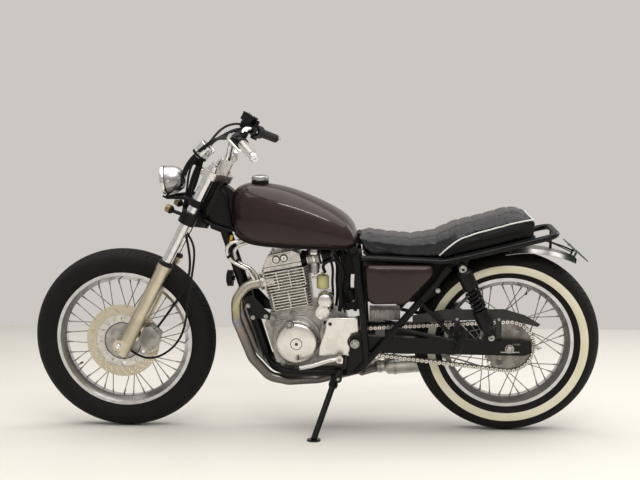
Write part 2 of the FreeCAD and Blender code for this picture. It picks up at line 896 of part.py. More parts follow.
def make_front_axle():
    """Wheel spindle with the speedometer drive that stands against the left leg."""
    length = (s.leg_y + s.slider_r + 6) * 2
    spindle = cylinder("front_spindle", s.front_axle_r, length,
                       point(s.axle_lead, -s.leg_y - s.slider_r - 6, 0))
    inner = s.leg_y - s.slider_r - s.fit_gap
    drive_w = inner - s.front_hub_end_y - s.disc_thickness - 5
    drive = cylinder("speedometer_drive", 27, drive_w, point(s.axle_lead, inner - drive_w, 0))
    drive_boss = cylinder("speedometer_drive_boss", 7, 26, point(s.axle_lead - 11, s.leg_y - s.slider_r - 9, -16),
                          -X_AXIS)
    spacer = cylinder("front_spacer", 14, inner - s.front_hub_end_y - 5,
                      point(s.axle_lead, -inner, 0))
    node("front_axle", joined("front_axle", [spindle, drive, drive_boss, spacer]), FORK)


def make_caliper():
    """Brake caliper behind the left leg, with the slot that the disc turns in."""
    low_y = s.front_hub_end_y - 14
    high_y = s.leg_y - 4
    body = plate("caliper_block", [
        (s.leg_lead - s.caliper_reach, 30),
        (s.leg_lead - s.caliper_reach, 96),
        (s.leg_lead - 52, 112),
        (s.leg_lead - 96, 96),
        (s.leg_lead - 104, 52),
        (s.leg_lead - 88, 24),
    ], high_y, high_y - low_y)
    slot = cylinder("caliper_slot", s.disc_outer_r + 5, s.disc_thickness + 10,
                    point(s.axle_lead, s.front_hub_end_y - 5, 0))
    spoke_room = cylinder("caliper_spoke_room", s.caliper_spoke_room, s.front_hub_end_y - low_y,
                          point(s.axle_lead, low_y - 1, 0))
    banjo = cylinder("caliper_banjo", 8, 20, point(s.leg_lead - 74, s.hose_end_y, 96), Z_AXIS)
    solid = joined("caliper_solid", [body, banjo])
    node("brake_caliper", cut_by("brake_caliper", solid, joined("caliper_cuts", [slot, spoke_room])), FORK)


def bar_points():
    """The left half of the handlebar's centre line, from its middle to its end."""
    return [
        point(s.bar_lead, 0, s.bar_height),
        point(s.bar_lead, s.bar_mid_y, s.bar_height),
        point(s.bar_knee_lead, s.bar_knee_y, s.bar_knee_height),
        point(s.bar_end_lead, s.bar_end_y, s.bar_end_height),
    ]


def flipped(spot):
    return Vector(spot.x, -spot.y, spot.z)


def make_handlebar():
    left = bar_points()
    right = [flipped(spot) for spot in reversed(left[1:])]
    node("handlebar", tube("handlebar", right + left[1:], s.bar_r, s.bar_bend_r), FORK)
    posts = []
    for side in (1, -1):
        tag = "left" if side > 0 else "right"
        low = side * float(s.bar_clamp_y) - float(s.bar_clamp_w) / 2
        post = block(f"bar_post_{tag}",
                     (s.bar_lead - 14, low, s.top_yoke_top),
                     (s.bar_lead + 14, low + s.bar_clamp_w, s.bar_height))
        ring = cylinder(f"bar_ring_{tag}", s.bar_clamp_r, s.bar_clamp_w,
                        point(s.bar_lead, low, s.bar_height))
        hole = cylinder(f"bar_hole_{tag}", s.bar_r + s.fit_gap, s.bar_clamp_w * 3,
                        point(s.bar_lead, low - s.bar_clamp_w, s.bar_height))
        posts.append(cut_by(f"bar_clamp_{tag}", joined(f"bar_clamp_solid_{tag}", [post, ring]), hole))
    node("bar_clamps", together("bar_clamps", posts), FORK)


def bar_spot(distance):
    """A point and the outward direction on the left grip run, at a distance from the bar's end."""
    knee, end = bar_points()[2:]
    outward = (end - knee).normalize()
    return end - outward * float(distance), outward


def sleeve(name, radius, start, length, outward):
    """A hollow sleeve on the bar."""
    skin = cylinder(f"{name}_skin", radius, length, start, outward)
    hole = cylinder(f"{name}_hole", s.bar_r + s.fit_gap, as_size(length) + 20, start - outward * 10, outward)
    return cut_by(name, skin, hole)


def make_grips():
    start, outward = bar_spot(s.grip_len)
    grip = sleeve("grip", s.grip_r, start, s.grip_len, outward)
    end = bar_spot(0)[0]
    weight = cylinder("bar_weight", s.bar_weight_r, s.bar_weight_len, end + outward * float(s.fit_gap), outward)
    left = together("left_grip", [grip, weight])
    node("grips", both_sides("grips", left), FORK)


def make_controls():
    """Clutch perch on the left, throttle housing and brake master cylinder on the right, both levers."""
    outward = bar_spot(0)[1]
    ahead = outward.cross(Z_AXIS).normalize()
    up = outward.cross(ahead).normalize() * -1
    start = bar_spot(s.grip_len + s.perch_len + 2)[0]
    middle = start + outward * (float(s.perch_len) / 2)
    ring = cylinder("clutch_ring", s.perch_r, s.perch_len, start, outward)
    arm = rod("clutch_arm", 9, middle, middle + ahead * float(s.lever_reach - s.lever_r - s.fit_gap))
    boss = cylinder("clutch_mirror_boss", 9, s.mirror_hole_depth + 22, middle, up)
    holes = joined("clutch_holes", [
        cylinder("clutch_mirror_hole", s.mirror_hole_r, s.mirror_hole_depth + 1, middle + up * 22, up),
        cylinder("clutch_bar_hole", s.bar_r + s.fit_gap, 60, start - outward * 15, outward),
    ])
    perch = cut_by("clutch_perch", joined("clutch_solid", [ring, arm, boss]), holes)
    switch_start = bar_spot(s.grip_len + s.switch_len + 2)[0]
    switch = sleeve("throttle_housing", s.switch_r, switch_start, s.switch_len, outward)
    master, master_middle = make_master_cylinder(outward, ahead, up)
    controls = [perch, mirrored(switch), mirrored(master)]
    node("hand_controls", together("hand_controls", controls), FORK)
    clutch_lever = hand_lever("clutch_lever", middle, outward, ahead, 0)
    brake_lever = hand_lever("brake_lever", master_middle, outward, ahead, 40)
    node("hand_levers", together("hand_levers", [clutch_lever, mirrored(brake_lever)]), FORK)


def hand_lever(name, pivot, outward, ahead, extra):
    """A bent lever that starts ahead of its pivot arm and reaches out beside the grip."""
    reach = float(s.lever_reach)
    return tube(name, [
        pivot + ahead * reach,
        pivot + ahead * (reach + 10) + outward * (40 + extra),
        pivot + ahead * (reach + 6) + outward * (150 + extra),
    ], s.lever_r, 60)


def make_master_cylinder(outward, ahead, up):
    """Brake master cylinder with its reservoir, drawn for the left side; also gives its middle."""
    start = bar_spot(s.grip_len + s.switch_len + s.perch_len + 4)[0]
    middle = start + outward * (float(s.perch_len) / 2)
    ring = cylinder("master_ring", s.perch_r, s.perch_len, start, outward)
    arm = rod("master_arm", 8, middle, middle + ahead * float(s.lever_reach - s.lever_r - s.fit_gap))
    barrel = rod("master_barrel", 13, middle + ahead * 26 - outward * 36, middle + ahead * 30 + outward * 12)
    cup = cylinder("master_cup", 22, 37, middle + ahead * 30 - outward * 10 + up * 5, up)
    boss = cylinder("master_mirror_boss", 9, s.mirror_hole_depth + 22, middle - ahead * 4, up)
    holes = joined("master_holes", [
        cylinder("master_mirror_hole", s.mirror_hole_r, s.mirror_hole_depth + 1,
                 middle + up * 22 - ahead * 4, up),
        cylinder("master_bar_hole", s.bar_r + s.fit_gap, 60, start - outward * 15, outward),
    ])
    solid = joined("master_solid", [ring, arm, barrel, cup, boss])
    return cut_by("master_cylinder", solid, holes), middle


def make_front_cables():
    """Brake hose from the master cylinder to the caliper, and the speedometer's cable to its drive."""
    outward = bar_spot(0)[1]
    ahead = outward.cross(Z_AXIS).normalize()
    start = bar_spot(s.grip_len + s.switch_len + s.perch_len + 4)[0]
    middle = start + outward * (float(s.perch_len) / 2)
    barrel_end = flipped(middle + ahead * 26 - outward * (36 + float(s.fit_gap)))
    inward = flipped(outward * -1)
    hose = tube("brake_hose", [
        barrel_end,
        barrel_end + inward * 42,
        point(86, -112, 868),
        point(106, -80, 815),
        point(112, -58, 758),
        point(110, -40, 700),
        point(102, -28, 642),
        point(82, -14, 588),
        point(67, 4, 540),
        point(54, 22, 495),
        point(20, 45, 460),
        point(-22, 68, 414),
        point(-52, 82, 362),
        point(-63, 88, 306),
        point(-56, 92, 246),
        point(-50, 90, 190),
        point(s.leg_lead - 78, 80, 146),
        point(s.leg_lead - 74, s.hose_end_y, 116.8),
    ], s.hose_r, s.cable_bend_r)
    can_down = Vector(sine(s.speedo_tilt), 0, -cosine(s.speedo_tilt))
    can_foot = point(s.speedo_lead, s.speedo_y + 16, s.speedo_height) + can_down * float(s.fit_gap)
    drive_end = point(s.axle_lead - 27 - 10 - s.fit_gap, s.leg_y - s.slider_r - 9, -16)
    cable = tube("speedometer_cable", [
        can_foot,
        can_foot + can_down * 26,
        point(106, 36, 676),
        point(92, 40, 630),
        point(80, 44, 582),
        point(72, 48, 534),
        point(46, 60, 492),
        point(8, 75, 474),
        point(-28, 90, 452),
        point(-50, 102, 406),
        point(-66, 112, 350),
        point(-88, 119, 292),
        point(-114, 123, 226),
        point(-130, 121, 158),
        point(-124, 116, 92),
        point(-98, 106, 34),
        point(-58, 90, -6),
        point(-18, 68, -18),
        drive_end,
    ], s.speedo_cable_r, s.cable_bend_r)
    node("front_cables", together("front_cables", [hose, cable]), FORK)


def lamp_frame():
    """The headlamp's own frame: Y forward along its beam, origin at the rim's front."""
    tilt = Rotation(Y_AXIS, float(s.rake + s.lamp_droop))
    front = point(s.lamp_lead, 0, s.lamp_height)
    return FORK.multiply(Placement(front, tilt.multiply(Rotation(Z_AXIS, -90))))


def make_headlamp():
    beam = lamp_frame()
    rim = s.lamp_rim_w
    depth = s.lamp_depth
    wall = 3
    shell = turned("headlamp", [
        (s.lamp_r, rim / 2),
        (s.lamp_r, -rim / 2),
        (s.lamp_r - 3, -rim / 2),
        (s.lamp_r * 0.93, rim / 2 - depth * 0.5),
        (s.lamp_r * 0.7, rim / 2 - depth * 0.85),
        (s.lamp_r * 0.3, rim / 2 - depth),
        (0, rim / 2 - depth),
        (0, rim / 2 - depth + wall),
        (s.lamp_r * 0.3, rim / 2 - depth + wall),
        (s.lamp_r * 0.66, rim / 2 - depth * 0.82),
        (s.lamp_r * 0.86, rim / 2 - depth * 0.45),
        (s.lamp_r - 5, rim / 2 - s.lens_thickness - 5),
        (s.lamp_r - 5, rim / 2),
    ])
    node("headlamp", shell, beam)
    lens = turned("headlamp_lens", [
        (0, rim / 2 - 2),
        (s.lamp_r - 5 - s.fit_gap, rim / 2 - s.lens_thickness - 2),
        (s.lamp_r - 5 - s.fit_gap, rim / 2 - 2),
        (s.lamp_r * 0.6, rim / 2 + 3),
        (0, rim / 2 + 5),
    ])
    node("headlamp_lens", lens, beam)
    make_headlamp_bracket()


def make_headlamp_bracket():
    """Two ears, each clamped round a fork tube, with a pin against the side of the lamp shell."""
    height = 24
    back = s.ear_back
    pin_x = s.lamp_lead - back * cosine(s.rake + s.lamp_droop)
    pin_z = s.lamp_height + back * sine(s.rake + s.lamp_droop)
    low = pin_z - height / 2
    ring = cylinder("ear_ring", s.fork_tube_r + 4, height, point(s.leg_lead, s.leg_y, low), Z_AXIS)
    lamp_side = s.lamp_r + 1
    arm = block("ear_arm", (s.leg_lead + 12, lamp_side, low), (pin_x + 9, lamp_side + 5, low + height))
    bridge = block("ear_bridge", (s.leg_lead + 8, lamp_side, low), (s.leg_lead + 18, s.leg_y, low + height))
    pin = rod("ear_pin", 5, point(pin_x, s.lamp_r - 3 + s.fit_gap, pin_z), point(pin_x, lamp_side + 8, pin_z))
    hole = cylinder("ear_hole", s.fork_tube_r + s.fit_gap, height * 3,
                    point(s.leg_lead, s.leg_y, low - height), Z_AXIS)
    ear = cut_by("ear", joined("ear_solid", [ring, arm, bridge, pin]), hole)
    node("headlamp_bracket", both_sides("headlamp_bracket", ear), FORK)


def make_speedometer():
    up = Vector(-sine(s.speedo_tilt), 0, cosine(s.speedo_tilt))
    foot = point(s.speedo_lead, s.speedo_y, s.speedo_height)
    can = cylinder("speedo_can", s.speedo_r, s.speedo_depth, foot, up)
    bezel = cylinder("speedo_bezel", s.speedo_r + 2, 8, foot + up * (float(s.speedo_depth) - 8), up)
    strap = block("speedo_strap", (s.leg_lead + 10.3, s.speedo_y - 8, s.top_yoke_bottom + 8),
                  (s.speedo_lead, s.speedo_y + 8, s.top_yoke_bottom + 13))
    post = rod("speedo_post", 6, point(s.speedo_lead - 2, s.speedo_y, s.top_yoke_bottom + 10),
               foot + up * 10)
    node("speedometer", joined("speedometer", [can, bezel, strap, post]), FORK)


def make_front_signals():
    """Two small lamps on stalks that stand out of the lower yoke."""
    stalk_end = point(s.signal_lead, s.signal_y, s.signal_height)
    beside = float(s.leg_y - s.signal_y) - 5
    clamp_front = math.sqrt(float(s.yoke_clamp_r) ** 2 - beside ** 2)
    stalk_start = point(s.leg_lead + clamp_front + s.fit_gap, s.signal_y, s.signal_height)
    stalk = rod("signal_stalk", 5, stalk_start, stalk_end)
    lamp = cylinder("signal_lamp", s.signal_r, s.signal_depth,
                    stalk_end - X_AXIS * (float(s.signal_depth) / 2), X_AXIS)
    node("front_signals", both_sides("front_signals", joined("front_signal", [stalk, lamp])), FORK)


# Frame, in the design frame


def upright_line():
    """The left upright behind the engine, from the pivot plate to the seat."""
    return [
        point(-196, s.pivot_tube_y, 292),
        point(-184, s.pivot_tube_y, 470),
        point(-160, s.seat_rail_y, 676),
    ]


def diagonal_line():
    """The left diagonal, from the foot of the pivot plate up to the seat rail."""
    return [point(-222, s.pivot_tube_y, 318), point(-488, s.seat_rail_y + 6, 629)]


def along_line(ends, share):
    start, end = ends
    return start + (end - start) * share


def backbone_line():
    """The backbone's two ends: at the head tube and at the seat junction."""
    return [FORK.multVec(point(0, 0, s.lower_yoke_top + 48)), point(-150, 0, 690)]


def stand_line():
    """The side stand's pivot and the direction of its pin."""
    pivot = point(s.stand_pivot_x, s.stand_pivot_y, s.stand_pivot_z)
    return pivot, Vector(-0.05, 0.905, 0.422).normalize()


def make_main_frame():
    """Head tube, backbone, downtube and the cradle that carries the engine."""
    head_low = s.lower_yoke_top + 0.5
    head_high = s.top_yoke_bottom - 0.5
    head_axis = FORK.Rotation.multVec(Z_AXIS)
    head_foot = FORK.multVec(point(0, 0, head_low))
    head = cylinder("head_tube", s.head_tube_r, head_high - head_low, head_foot, head_axis)
    backbone_top, seat_junction = backbone_line()
    backbone = rod("backbone", s.backbone_r, backbone_top, seat_junction)
    pad_middle = along_line(backbone_line(), 0.36)
    pad_reach = Y_AXIS * float(s.tunnel_half_width - s.fit_gap)
    tank_pad = rod("tank_pad", 12, pad_middle - pad_reach, pad_middle + pad_reach)
    down_foot = point(172, 0, 266)
    downtube = rod("downtube", s.downtube_r, FORK.multVec(point(-12, 0, head_low + 62)), down_foot)
    cradle = tube("cradle_tube", [
        down_foot + Vector(2, 14, 10),
        point(146, 58, s.cradle_z + 8),
        point(96, s.cradle_y, s.cradle_z),
        point(-120, s.cradle_y + 6, s.cradle_z),
        point(-172, s.pivot_tube_y, 262),
    ] + diagonal_line(), s.cradle_r, 60)
    upright = tube("pivot_upright", upright_line(), s.cradle_r, 200)
    cross_reach = Y_AXIS * float(s.seat_rail_y + 2)
    cross_top = rod("seat_junction_tube", s.cradle_r, seat_junction - cross_reach, seat_junction + cross_reach)
    tray_end = along_line(upright_line()[1:], 0.44)
    tray_tube = rod("battery_cross_tube", s.battery_tube_r, flipped(tray_end), tray_end)
    gusset = plate("pivot_gusset", [
        (s.pivot_x + 16, s.pivot_z + 26),
        (s.pivot_x - 32, s.pivot_z + 40),
        (s.pivot_x - 44, s.pivot_z - 62),
        (s.pivot_x - 10, s.pivot_z - 112),
        (s.pivot_x + 30, s.pivot_z - 118),
        (s.pivot_x + 20, s.pivot_z - 30),
    ], s.pivot_tube_y, s.pivot_plate_w)
    boss_low = s.arm_inner_y - 11 + s.arm_lug_w + s.fit_gap
    pivot_boss = cylinder("pivot_boss", s.pivot_r + 4, s.pivot_tube_y - boss_low - 2,
                          point(s.pivot_x, boss_low, s.pivot_z))
    low_cross_end = point(-118, s.cradle_y + 5, s.cradle_z)
    low_cross = rod("low_cross_tube", s.cradle_r, flipped(low_cross_end), low_cross_end)
    pieces = [head, backbone, tank_pad, downtube, cross_top, tray_tube, low_cross]
    for left_piece in (cradle, upright, gusset, pivot_boss):
        pieces += [left_piece, mirrored(left_piece)]
    pieces += make_engine_mounts() + make_stand_bracket()
    solid = welded("main_frame_weld", pieces)
    head_bore = cylinder("head_bore", s.stem_r + 0.5, head_high - head_low + 40,
                         head_foot - head_axis * 20, head_axis)
    pivot_hole = cylinder("pivot_hole", s.pivot_r + s.fit_gap, 400, point(s.pivot_x, -200, s.pivot_z))
    frame = cut_by("main_frame", solid, joined("main_frame_holes", [head_bore, pivot_hole]))
    node("main_frame", frame)


def make_engine_mounts():
    """Two bars through the downtube, with a plate on each end against the crankcase's sides."""
    left_y = s.case_left_y + s.fit_gap + s.mount_plate_w
    right_y = s.case_right_y - s.fit_gap
    pieces = []
    for tag, x, z in (("high", 238, 494), ("low", 222, 444)):
        pieces.append(rod(f"mount_bar_{tag}", 9, point(x, right_y - s.mount_plate_w, z), point(x, left_y, z)))
    corners = [(242, 510), (222, 516), (176, 466), (153, 447), (157, 424), (206, 432), (238, 480)]
    for tag, y in (("left", left_y), ("right", right_y)):
        pieces.append(plate(f"mount_plate_{tag}", corners, y, s.mount_plate_w))
    return pieces


def make_stand_bracket():
    """The side stand's pin with its backing disc, and the arm that ties it to the cradle."""
    pivot, axis = stand_line()
    face = pivot - axis * float(s.stand_eye_half + s.fit_gap)
    disc = rod("stand_disc", s.stand_eye_r + 1, face - axis * 8, face)
    pin = rod("stand_pin", s.stand_pin_r, face - axis * 4, pivot + axis * float(s.stand_eye_half + 5))
    arm = rod("stand_bracket_arm", 10, face - axis * 12, point(s.stand_pivot_x, s.cradle_y + 4, s.cradle_z))
    return [disc, pin, arm]


def make_rear_frame():
    """Seat rails with the loop behind the seat, a fender cross tube and the shock studs."""
    y = s.seat_rail_y
    left_rail = [
        point(-178, y, 662),
        point(-470, y, 649),
        point(-560, y, 668),
        point(-775, y, 722),
    ]
    hoop_left = point(-866, y, 745)
    points = left_rail + [hoop_left]
    whole = points + [flipped(spot) for spot in reversed(points)]
    rails = tube("seat_loop", whole, s.rail_r, 70)
    cross_end = point(-700, y, s.fender_z + s.fender_r - 6 + 9 + s.fit_gap)
    cross = rod("fender_cross_tube", 9, flipped(cross_end), cross_end)
    stay_foot = point(-858, 0, s.fender_z + s.fender_r - 8.6)
    stay = rod("fender_stay", 5, stay_foot, point(-858, 0, 744))
    stud = rod("shock_stud", s.shock_stud_r, point(s.shock_top_x, y, s.shock_top_z + 22),
               point(s.shock_top_x, y + 4, s.shock_top_z + 22))
    ear = plate("shock_ear", [
        (s.shock_top_x + 26, s.shock_top_z + 26),
        (s.shock_top_x - 26, s.shock_top_z + 32),
        (s.shock_top_x - 12, s.shock_top_z - 12),
        (s.shock_top_x + 12, s.shock_top_z - 12),
    ], s.seat_rail_y + 14, 8)
    pin = rod("shock_pin", s.shock_stud_r, point(s.shock_top_x, y + 8, s.shock_top_z),
              point(s.shock_top_x, s.shock_y + s.shock_eye_w / 2 + 8, s.shock_top_z))
    pieces = [rails, cross, stay]
    for left_piece in (stud, ear, pin):
        pieces += [left_piece, mirrored(left_piece)]
    node("rear_frame", welded("rear_frame_weld", pieces))


def arm_top(x):
    """Height of the swingarm's upper edge at a place along it."""
    front_z = s.pivot_z + 22
    back_x = s.arm_end_x + 30
    back_z = s.rear_tyre_r + s.arm_height / 2
    return front_z + (as_size(x) - s.arm_front_x) * ((back_z - front_z) / (back_x - s.arm_front_x))


def make_swingarm():
    half = s.arm_height / 2
    inner = s.arm_inner_y
    outer = inner + s.arm_w
    axle = REAR_AXLE
    arm = plate("swingarm_arm", [
        (s.arm_front_x, s.pivot_z + 22),
        (s.arm_end_x + 30, s.rear_tyre_r + half),
        (s.arm_end_x, s.rear_tyre_r + 12),
        (s.arm_end_x, s.rear_tyre_r - 12),
        (s.arm_end_x + 30, s.rear_tyre_r - half),
        (s.arm_front_x - 15, s.pivot_z - 40),
        (s.arm_front_x, s.pivot_z - 30),
    ], outer, s.arm_w)
    front_lug = plate("swingarm_front_lug", [
        (s.pivot_x + 14, s.pivot_z + 18),
        (s.arm_front_x - 60, s.pivot_z + 18),
        (s.arm_front_x - 60, s.pivot_z - 22),
        (s.pivot_x + 14, s.pivot_z - 18),
    ], inner - 11 + s.arm_lug_w, s.arm_lug_w)
    lug = plate("shock_lug", [
        (s.shock_bottom_x + 30, s.rear_tyre_r + half - 6),
        (s.shock_bottom_x + 12, s.shock_bottom_z + 12),
        (s.shock_bottom_x - 12, s.shock_bottom_z + 12),
        (s.shock_bottom_x - 30, s.rear_tyre_r + half - 6),
    ], outer, 8)
    pin = rod("arm_shock_pin", s.shock_stud_r, point(s.shock_bottom_x, outer - 8, s.shock_bottom_z),
              point(s.shock_bottom_x, s.shock_y + s.shock_eye_w / 2 + 8, s.shock_bottom_z))
    tube_end = point(s.pivot_x, inner - 2, s.pivot_z)
    pivot_tube = rod("swingarm_tube", s.arm_tube_r, flipped(tube_end), tube_end)
    brace = block("swingarm_brace", (-262, -inner - 4, 336), (-228, inner + 4, 370))
    pieces = [pivot_tube, brace]
    for left_piece in (front_lug, arm, lug, pin):
        pieces += [left_piece, mirrored(left_piece)]
    solid = welded("swingarm_weld", pieces)
    axle_hole = cylinder("arm_axle_hole", s.rear_axle_r + s.fit_gap, 400, axle - Y_AXIS * 200)
    pivot_hole = cylinder("arm_pivot_hole", s.pivot_r + s.fit_gap, 400, point(s.pivot_x, -200, s.pivot_z))
    holes = joined("swingarm_holes", [axle_hole, pivot_hole])
    node("swingarm", cut_by("swingarm", solid, holes))
    bolt_end = point(s.pivot_x, s.pivot_tube_y + 10, s.pivot_z)
    node("swingarm_bolt", rod("swingarm_bolt", s.pivot_r, flipped(bolt_end), bolt_end))


def make_rear_axle():
    outer = s.arm_inner_y + s.arm_w
    spindle = cylinder("rear_spindle", s.rear_axle_r, (outer + 12) * 2, REAR_AXLE - Y_AXIS * (float(outer) + 12))
    inner = s.arm_inner_y - s.fit_gap
    carrier_end = s.chain_line_y + s.sprocket_w / 2 + 6
    left_spacer = cylinder("rear_left_spacer", 14, inner - carrier_end, REAR_AXLE + Y_AXIS * float(carrier_end))
    node("rear_axle", joined("rear_axle", [spindle, left_spacer]))


def make_brake_plate():
    """The plate that closes the drum on the right, with its boss and its lever."""
    face = s.rear_hub_right_y + 5
    inner = s.arm_inner_y - s.fit_gap
    disc = cylinder("brake_plate_disc", s.brake_plate_r, s.brake_plate_w,
                    REAR_AXLE - Y_AXIS * float(face + s.brake_plate_w))
    boss = cylinder("brake_plate_boss", 22, inner - face, REAR_AXLE - Y_AXIS * float(inner))
    cam = cylinder("brake_cam", 9, 26, REAR_AXLE + Vector(30, -float(face) - 34, -52))
    lever = rod("brake_arm", 6, REAR_AXLE + Vector(30, -float(face) - 30, -52),
                REAR_AXLE + Vector(36, -float(face) - 30, -130))
    hole = cylinder("brake_plate_hole", s.rear_axle_r + s.fit_gap, 200, REAR_AXLE - Y_AXIS * 180)
    solid = joined("brake_plate_solid", [disc, boss, cam, lever])
    node("rear_brake_plate", cut_by("rear_brake_plate", solid, hole))


def spring_turns(start, along, length):
    """The close turns of a shock's spring, as one turned body with a groove between them."""
    count = int(float(s.shock_turns))
    pitch = length / count
    inner = s.shock_spring_r - s.shock_wire_r
    profile = [(0, 0)]
    for index in range(count):
        low = index * pitch
        profile += [(inner, low), (s.shock_spring_r, low + pitch * 0.3),
                    (s.shock_spring_r, low + pitch * 0.7)]
    spring = turned("shock_spring", profile + [(inner, length), (0, length)])
    spring.Placement = Placement(start, Rotation(Y_AXIS, along))
    return spring


def make_shocks():
    top = point(s.shock_top_x, s.shock_y, s.shock_top_z)
    bottom = point(s.shock_bottom_x, s.shock_y, s.shock_bottom_z)
    down = (bottom - top).normalize()
    length = (bottom - top).Length
    half = float(s.shock_eye_w) / 2
    eyes = [cylinder("shock_top_eye", s.shock_eye_r, s.shock_eye_w, top - Y_AXIS * half),
            cylinder("shock_bottom_eye", s.shock_eye_r, s.shock_eye_w, bottom - Y_AXIS * half)]
    cover = rod("shock_cover", s.shock_spring_r - 1, top + down * 12, top + down * 78)
    spring = spring_turns(top + down * 78, down, length - 78 - 48)
    damper = rod("shock_damper", s.shock_body_r, bottom - down * 48, bottom - down * 10)
    solid = joined("shock_solid", eyes + [cover, spring, damper])
    holes = joined("shock_holes", [
        cylinder("shock_top_hole", s.shock_stud_r + s.fit_gap, 90, top - Y_AXIS * 45),
        cylinder("shock_bottom_hole", s.shock_stud_r + s.fit_gap, 90, bottom - Y_AXIS * 45),
    ])
    node("shock_absorbers", both_sides("shock_absorbers", cut_by("shock", solid, holes)))


# Engine


def make_crankcase():
    """The crankcase block; its top meets the barrel's tilted foot."""
    tilt_cos = cosine(s.cylinder_tilt)
    tilt_sin = sine(s.cylinder_tilt)
    front = s.core_half + 26
    back = -s.core_half - 10
    case = plate("crankcase", [
        (s.cylinder_x + front * tilt_cos, s.cylinder_z - front * tilt_sin),
        (176, 410),
        (154, 330),
        (134, 264),
        (90, 252),
        (-96, 252),
        (-108, 300),
        (-126, 326),
        (-126, 392),
        (-118, 430),
        (-40, 466),
        (s.cylinder_x + back * tilt_cos, s.cylinder_z - back * tilt_sin),
    ], s.case_left_y, s.case_left_y - s.case_right_y)
    node("crankcase", case)


def make_engine_covers():
    """Round generator cover and the chain sprocket's cover on the left, clutch cover on the right."""
    generator_w = s.stator_out_y - s.case_left_y
    generator = turned("generator_cover", [
        (0, 0),
        (s.stator_r + 4, 0),
        (s.stator_r + 4, generator_w * 0.35),
        (s.stator_r, generator_w * 0.42),
        (s.stator_r, generator_w * 0.82),
        (s.stator_r - 14, generator_w),
        (0, generator_w),
    ])
    node("generator_cover", generator, Placement(point(s.stator_x, s.case_left_y, s.stator_z), Rotation()))
    plain_cover = plate("sprocket_cover_plain", [
        (-34, 436),
        (-70, 438),
        (-160, 442),
        (-168, 388),
        (s.pivot_x, s.pivot_z),
        (-126, 330),
        (-80, 306),
        (-34, 303),
    ], s.sprocket_cover_y, s.sprocket_cover_wall)
    notch = cylinder("sprocket_cover_notch", s.arm_tube_r + 8, s.sprocket_cover_wall + 2,
                     point(s.pivot_x, s.sprocket_cover_y - s.sprocket_cover_wall - 1, s.pivot_z))
    cover = cut_by("sprocket_cover_face", plain_cover, notch)
    face_y = s.sprocket_cover_y - s.sprocket_cover_wall + 1
    wall_w = face_y - s.case_left_y - s.fit_gap
    front_wall = plate("sprocket_cover_front", [(-34, 436), (-34, 304), (-40, 304), (-40, 436)], face_y, wall_w)
    top_wall = plate("sprocket_cover_top", [(-34, 436), (-34, 429), (-114, 432), (-114, 439)], face_y, wall_w)
    node("sprocket_cover", joined("sprocket_cover_whole", [cover, front_wall, top_wall]))
    clutch_w = s.clutch_out_y + s.case_right_y
    clutch = turned("clutch_cover", [
        (0, 0),
        (s.clutch_r + 4, 0),
        (s.clutch_r + 4, -clutch_w * 0.45),
        (s.clutch_r - 4, -clutch_w * 0.8),
        (s.clutch_r - 20, -clutch_w),
        (0, -clutch_w),
    ])
    node("clutch_cover", clutch, Placement(point(s.clutch_x, s.case_right_y, s.clutch_z), Rotation()))


def fin_plate(name, low_z, length, half_width, thickness):
    """One cooling fin: a rectangle with cut corners, across the bore."""
    body = new_body(name)
    half = length / 2
    cut = 14
    corners = [
        (-half, -half_width + cut),
        (-half + cut, -half_width),
        (half - cut, -half_width),
        (half, -half_width + cut),
        (half, half_width - cut),
        (half - cut, half_width),
        (-half + cut, half_width),
        (-half, half_width - cut),
    ]
    pad(body, outline(body, "XY_Plane", corners, low_z), thickness)
    return body


def make_cylinder():
    core = block("cylinder_core", (-s.core_half, -s.core_half, 0), (s.core_half, s.core_half, s.barrel_len))
    fins = [core]
    count = int(float(s.fin_count))
    pitch = s.barrel_len / count
    for index in range(count):
        share = index / (count - 1)
        length = s.fin_bottom_length + (s.fin_top_length - s.fin_bottom_length) * share
        low_z = pitch * (index + 0.5)
        fins.append(fin_plate(f"fin_{index}", low_z, length, s.fin_half_width, s.fin_thickness))
    for tag, y in (("left", s.port_y), ("right", -s.port_y)):
        fins.append(cylinder(f"exhaust_port_{tag}", s.port_r, s.fin_top_length / 2 - s.core_half + 10,
                             point(s.core_half - 10, y, s.port_height), X_AXIS))
    node("cylinder", joined("cylinder", fins), CYLINDER)


def make_cylinder_head():
    body = new_body("cylinder_head")
    top = s.barrel_len + s.head_height
    foot = s.barrel_len
    corners = [
        (-66, foot),
        (76, foot),
        (72, foot + 30),
        (48, top),
        (-40, top + 2),
        (-66, foot + 46),
    ]
    sketch = outline(body, "XZ_Plane", corners, -s.head_half_width)
    pad(body, sketch, s.head_half_width * 2)
    node("cylinder_head", body, CYLINDER)


def make_carburettor():
    """Two carburettors side by side behind the head, with their inlet stubs and filters."""
    head_back = CYLINDER.multVec(point(-66 - s.fit_gap, 0, s.barrel_len + 18))
    y = 34
    start = head_back + Vector(0, y, 0)
    back = CYLINDER.Rotation.multVec(-X_AXIS)
    stub = rod("inlet_stub", 17, start, start + back * 26)
    body = rod("carburettor_body", 24, start + back * 26, start + back * 66)
    bowl = cylinder("float_bowl", 19, 44, start + back * 46 - Z_AXIS * 54, Z_AXIS)
    dome = cylinder("slide_dome", 20, 40, start + back * 46, Z_AXIS)
    air = rod("air_filter", 27, start + back * 66, start + back * 112)
    left = joined("carburettor_left", [stub, body, bowl, dome, air])
    node("carburettors", both_sides("carburettors", left))


def make_starter():
    motor = cylinder("starter_motor", s.starter_r, 88, point(s.starter_x, -16, s.starter_z))
    cap = cylinder("starter_cap", s.starter_r - 5, 12, point(s.starter_x, 72, s.starter_z))
    node("starter_motor", joined("starter_motor_whole", [motor, cap]))


# Exhaust


